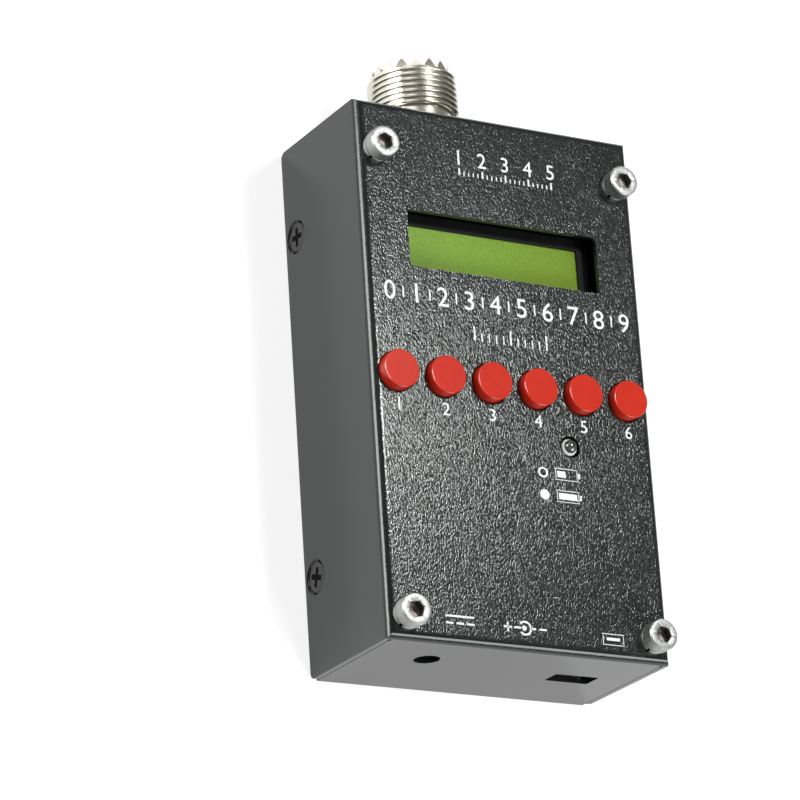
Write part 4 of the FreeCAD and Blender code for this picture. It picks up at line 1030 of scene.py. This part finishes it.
def draw_jack_marks(marks):
    """Direct current, centre-positive plug, and the outline of a small socket."""
    current, plus, plus_size, level = -16.4, -5.4, 1.6, -43.85
    marks.dash(current, -43.0, length=5.4)
    for k in range(3):
        marks.dash(current + 2.0 * k, -44.2, length=1.4)
    marks.tick(plus + plus_size / 2, level - plus_size / 2, plus_size)
    for x, length in ((plus, plus_size), (-3.4, 1.3), (-0.2, 1.0), (1.5, 1.4)):
        marks.dash(x, level, length)
    marks.ring(-1.3, level, radius=0.95, gap=80)
    marks.disc(-1.45, level, radius=0.42)
    marks.box(13.7, 18.1, -45.3, -43.3, width=0.26)
    marks.bar(14.6, 17.2, -44.5, -44.0)


class ANALYZER_OT_face_marks(bpy.types.Operator):
    """Print plain numerals, scales and signs on the face"""
    bl_idname = "analyzer.face_marks"
    bl_label = "Face marks"

    def execute(self, context):
        settings = context.scene.analyzer_marks
        marks = Print(settings.stroke)
        draw_scales(marks)
        draw_lamp_marks(marks)
        draw_jack_marks(marks)
        for number in KEY_NUMBERS:
            low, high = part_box(f"key_cap_{number}")
            marks.text(str(number), (low.x + high.x) / 2 / MM, y=-8.1, height=2.2)
        on_face = shift((0, 0, FACE_LEVEL))
        white = ink(settings)
        add_piece("face_marks", marks.finished(settings.thickness, on_face), [white], "case")
        self.mark_rocker(settings, white)
        return {"FINISHED"}

    def mark_rocker(self, settings, white):
        """Line and circle on the two wings of the power rocker, which slope up from its middle."""
        wing_length, wing_rise, hub_rise, reach = 5.31 * MM, 1.3 * MM, 0.9 * MM, 2.9 * MM
        slope = atan2(wing_rise, wing_length)
        rise = hub_rise + wing_rise * reach / wing_length
        tilt = radians(POWER_ROCK["range_deg"][1] / 2)
        pivot = shift(POWER_ROCK["pos_m"]) @ Matrix.Rotation(tilt, 4, "Z")
        line, circle = Print(0.4 * MM), Print(0.4 * MM)
        line.tick(0, -1.1, height=2.2)
        circle.ring(0, 0, radius=0.8)
        wings = []
        for side, marks in ((-1, line), (1, circle)):
            wing = shift((side * reach, rise, 0))
            upright = pivot @ wing @ Matrix.Rotation(side * slope, 4, "Z") @ ALONG_Y
            wings.append(marks.finished(settings.thickness, upright))
        add_piece("rocker_marks", gather(wings), [white], "rocker")


class ANALYZER_OT_stage(bpy.types.Operator):
    """Set up the floor, the light and the camera"""
    bl_idname = "analyzer.stage"
    bl_label = "Stage"

    def execute(self, context):
        settings = context.scene.analyzer_stage
        self.lay_floor(settings)
        self.light_room(context.scene, settings)
        for lamp in (
                # name, direction, distance, size, power
                ("side_lamp", (-0.93, 0.28, 0.24), 0.55, (0.22, 0.28), settings.side_light),
                ("far_lamp", (-0.45, 0.62, 0.68), 0.70, (0.45, 0.30), settings.far_light),
                ("top_lamp", (0.25, 0.30, 0.915), 0.45, (0.067, 0.067), settings.top_light),
                ("front_lamp", (0.45, -0.70, 0.55), 0.60, (0.36, 0.36), settings.front_light)):
            self.hang_lamp(*lamp)
        self.place_camera(context.scene, settings)
        return {"FINISHED"}

    def lay_floor(self, settings):
        """White floor that shows as the background and keeps a soft shadow."""
        bm = bmesh.new()
        bmesh.ops.create_grid(bm, x_segments=1, y_segments=1, size=settings.floor_size)
        floor = add_object("floor", as_mesh("floor", bm))
        paper = Finish("white paper")
        fibre = paper.noise(40 * MM, 3.0)
        glow = paper.tint(paper.seen_rays(), (0, 0, 0), (0.72, 0.72, 0.72))
        colour = paper.tint(fibre, (0.40, 0.40, 0.40), (0.44, 0.44, 0.44))
        paper.set(Base_Color=colour, Roughness=0.9, Specular_IOR_Level=0.0,
                  Emission_Color=glow, Emission_Strength=1.0)
        floor.data.materials.append(paper.material)

    def light_room(self, scene, settings):
        """Even white light from all round, brighter toward the horizon and below it."""
        world = bpy.data.worlds.new("room")
        world.use_nodes = True
        scene.world = world
        room = Graph(world.node_tree)
        direction = room.node("TexCoord", output="Generated")
        height = room.node("SeparateXYZ", {}, {"Vector": direction}, "Z")
        glow = room.node("MapRange", {"interpolation_type": "SMOOTHSTEP"}, {
            "Value": height, "From Min": -0.02, "From Max": 0.5,
            "To Min": settings.horizon_light, "To Max": settings.room_light})
        background = world.node_tree.nodes["Background"].inputs
        room.feed(background["Strength"], glow)
        room.feed(background["Color"], (1, 1, 1))

    def hang_lamp(self, name, direction, distance, size, power):
        """Soft lamp that faces the analyzer from a direction."""
        lamp = bpy.data.lights.new(name, "AREA")
        lamp.shape = "RECTANGLE"
        lamp.size, lamp.size_y = size
        lamp.energy = power
        holder = add_object(name, lamp)
        holder.visible_camera = False
        outward = Vector(direction).normalized()
        holder.location = outward * distance + Vector((0, 0, FACE_LEVEL))
        holder.rotation_euler = (-outward).to_track_quat("-Z", "Y").to_euler()

    def place_camera(self, scene, settings):
        """Long lens from above the jack end, over the left wall."""
        camera = bpy.data.cameras.new("camera")
        camera.lens = settings.lens
        camera.sensor_width = 36
        camera.clip_start = 0.01
        holder = add_object("camera", camera)
        holder.location = settings.camera_place
        holder.rotation_euler = Euler(settings.camera_turn, "XYZ")
        scene.camera = holder
        scene.view_settings.view_transform = "Standard"


class ANALYZER_PT_pieces(bpy.types.Panel):
    """Lists the pieces of the analyzer"""
    bl_idname = "ANALYZER_PT_pieces"
    bl_label = "Antenna analyzer"
    bl_space_type = "VIEW_3D"
    bl_region_type = "UI"
    bl_category = "Analyzer"

    def draw(self, context):
        for operator in OPERATORS:
            self.layout.operator(operator.bl_idname)


SETTINGS = {
    "analyzer_case": CaseSettings,
    "analyzer_keys": KeySettings,
    "analyzer_screws": ScrewSettings,
    "analyzer_socket": SocketSettings,
    "analyzer_display": DisplaySettings,
    "analyzer_marks": MarkSettings,
    "analyzer_stage": StageSettings,
}
OPERATORS = (
    ANALYZER_OT_case, ANALYZER_OT_keys, ANALYZER_OT_face_screws, ANALYZER_OT_cover_screws,
    ANALYZER_OT_antenna_socket, ANALYZER_OT_display, ANALYZER_OT_lamp, ANALYZER_OT_jacks,
    ANALYZER_OT_inside, ANALYZER_OT_face_marks, ANALYZER_OT_stage,
)
CLASSES = (*SETTINGS.values(), *OPERATORS, ANALYZER_PT_pieces)


def register():
    for item in CLASSES:
        bpy.utils.register_class(item)
    for name, group in SETTINGS.items():
        setattr(bpy.types.Scene, name, PointerProperty(type=group))


def unregister():
    for name in SETTINGS:
        delattr(bpy.types.Scene, name)
    for item in reversed(CLASSES):
        bpy.utils.unregister_class(item)


def main():
    register()
    for operator in OPERATORS:
        getattr(bpy.ops.analyzer, operator.bl_idname.split(".")[1])()


if __name__ == "__main__":
    main()
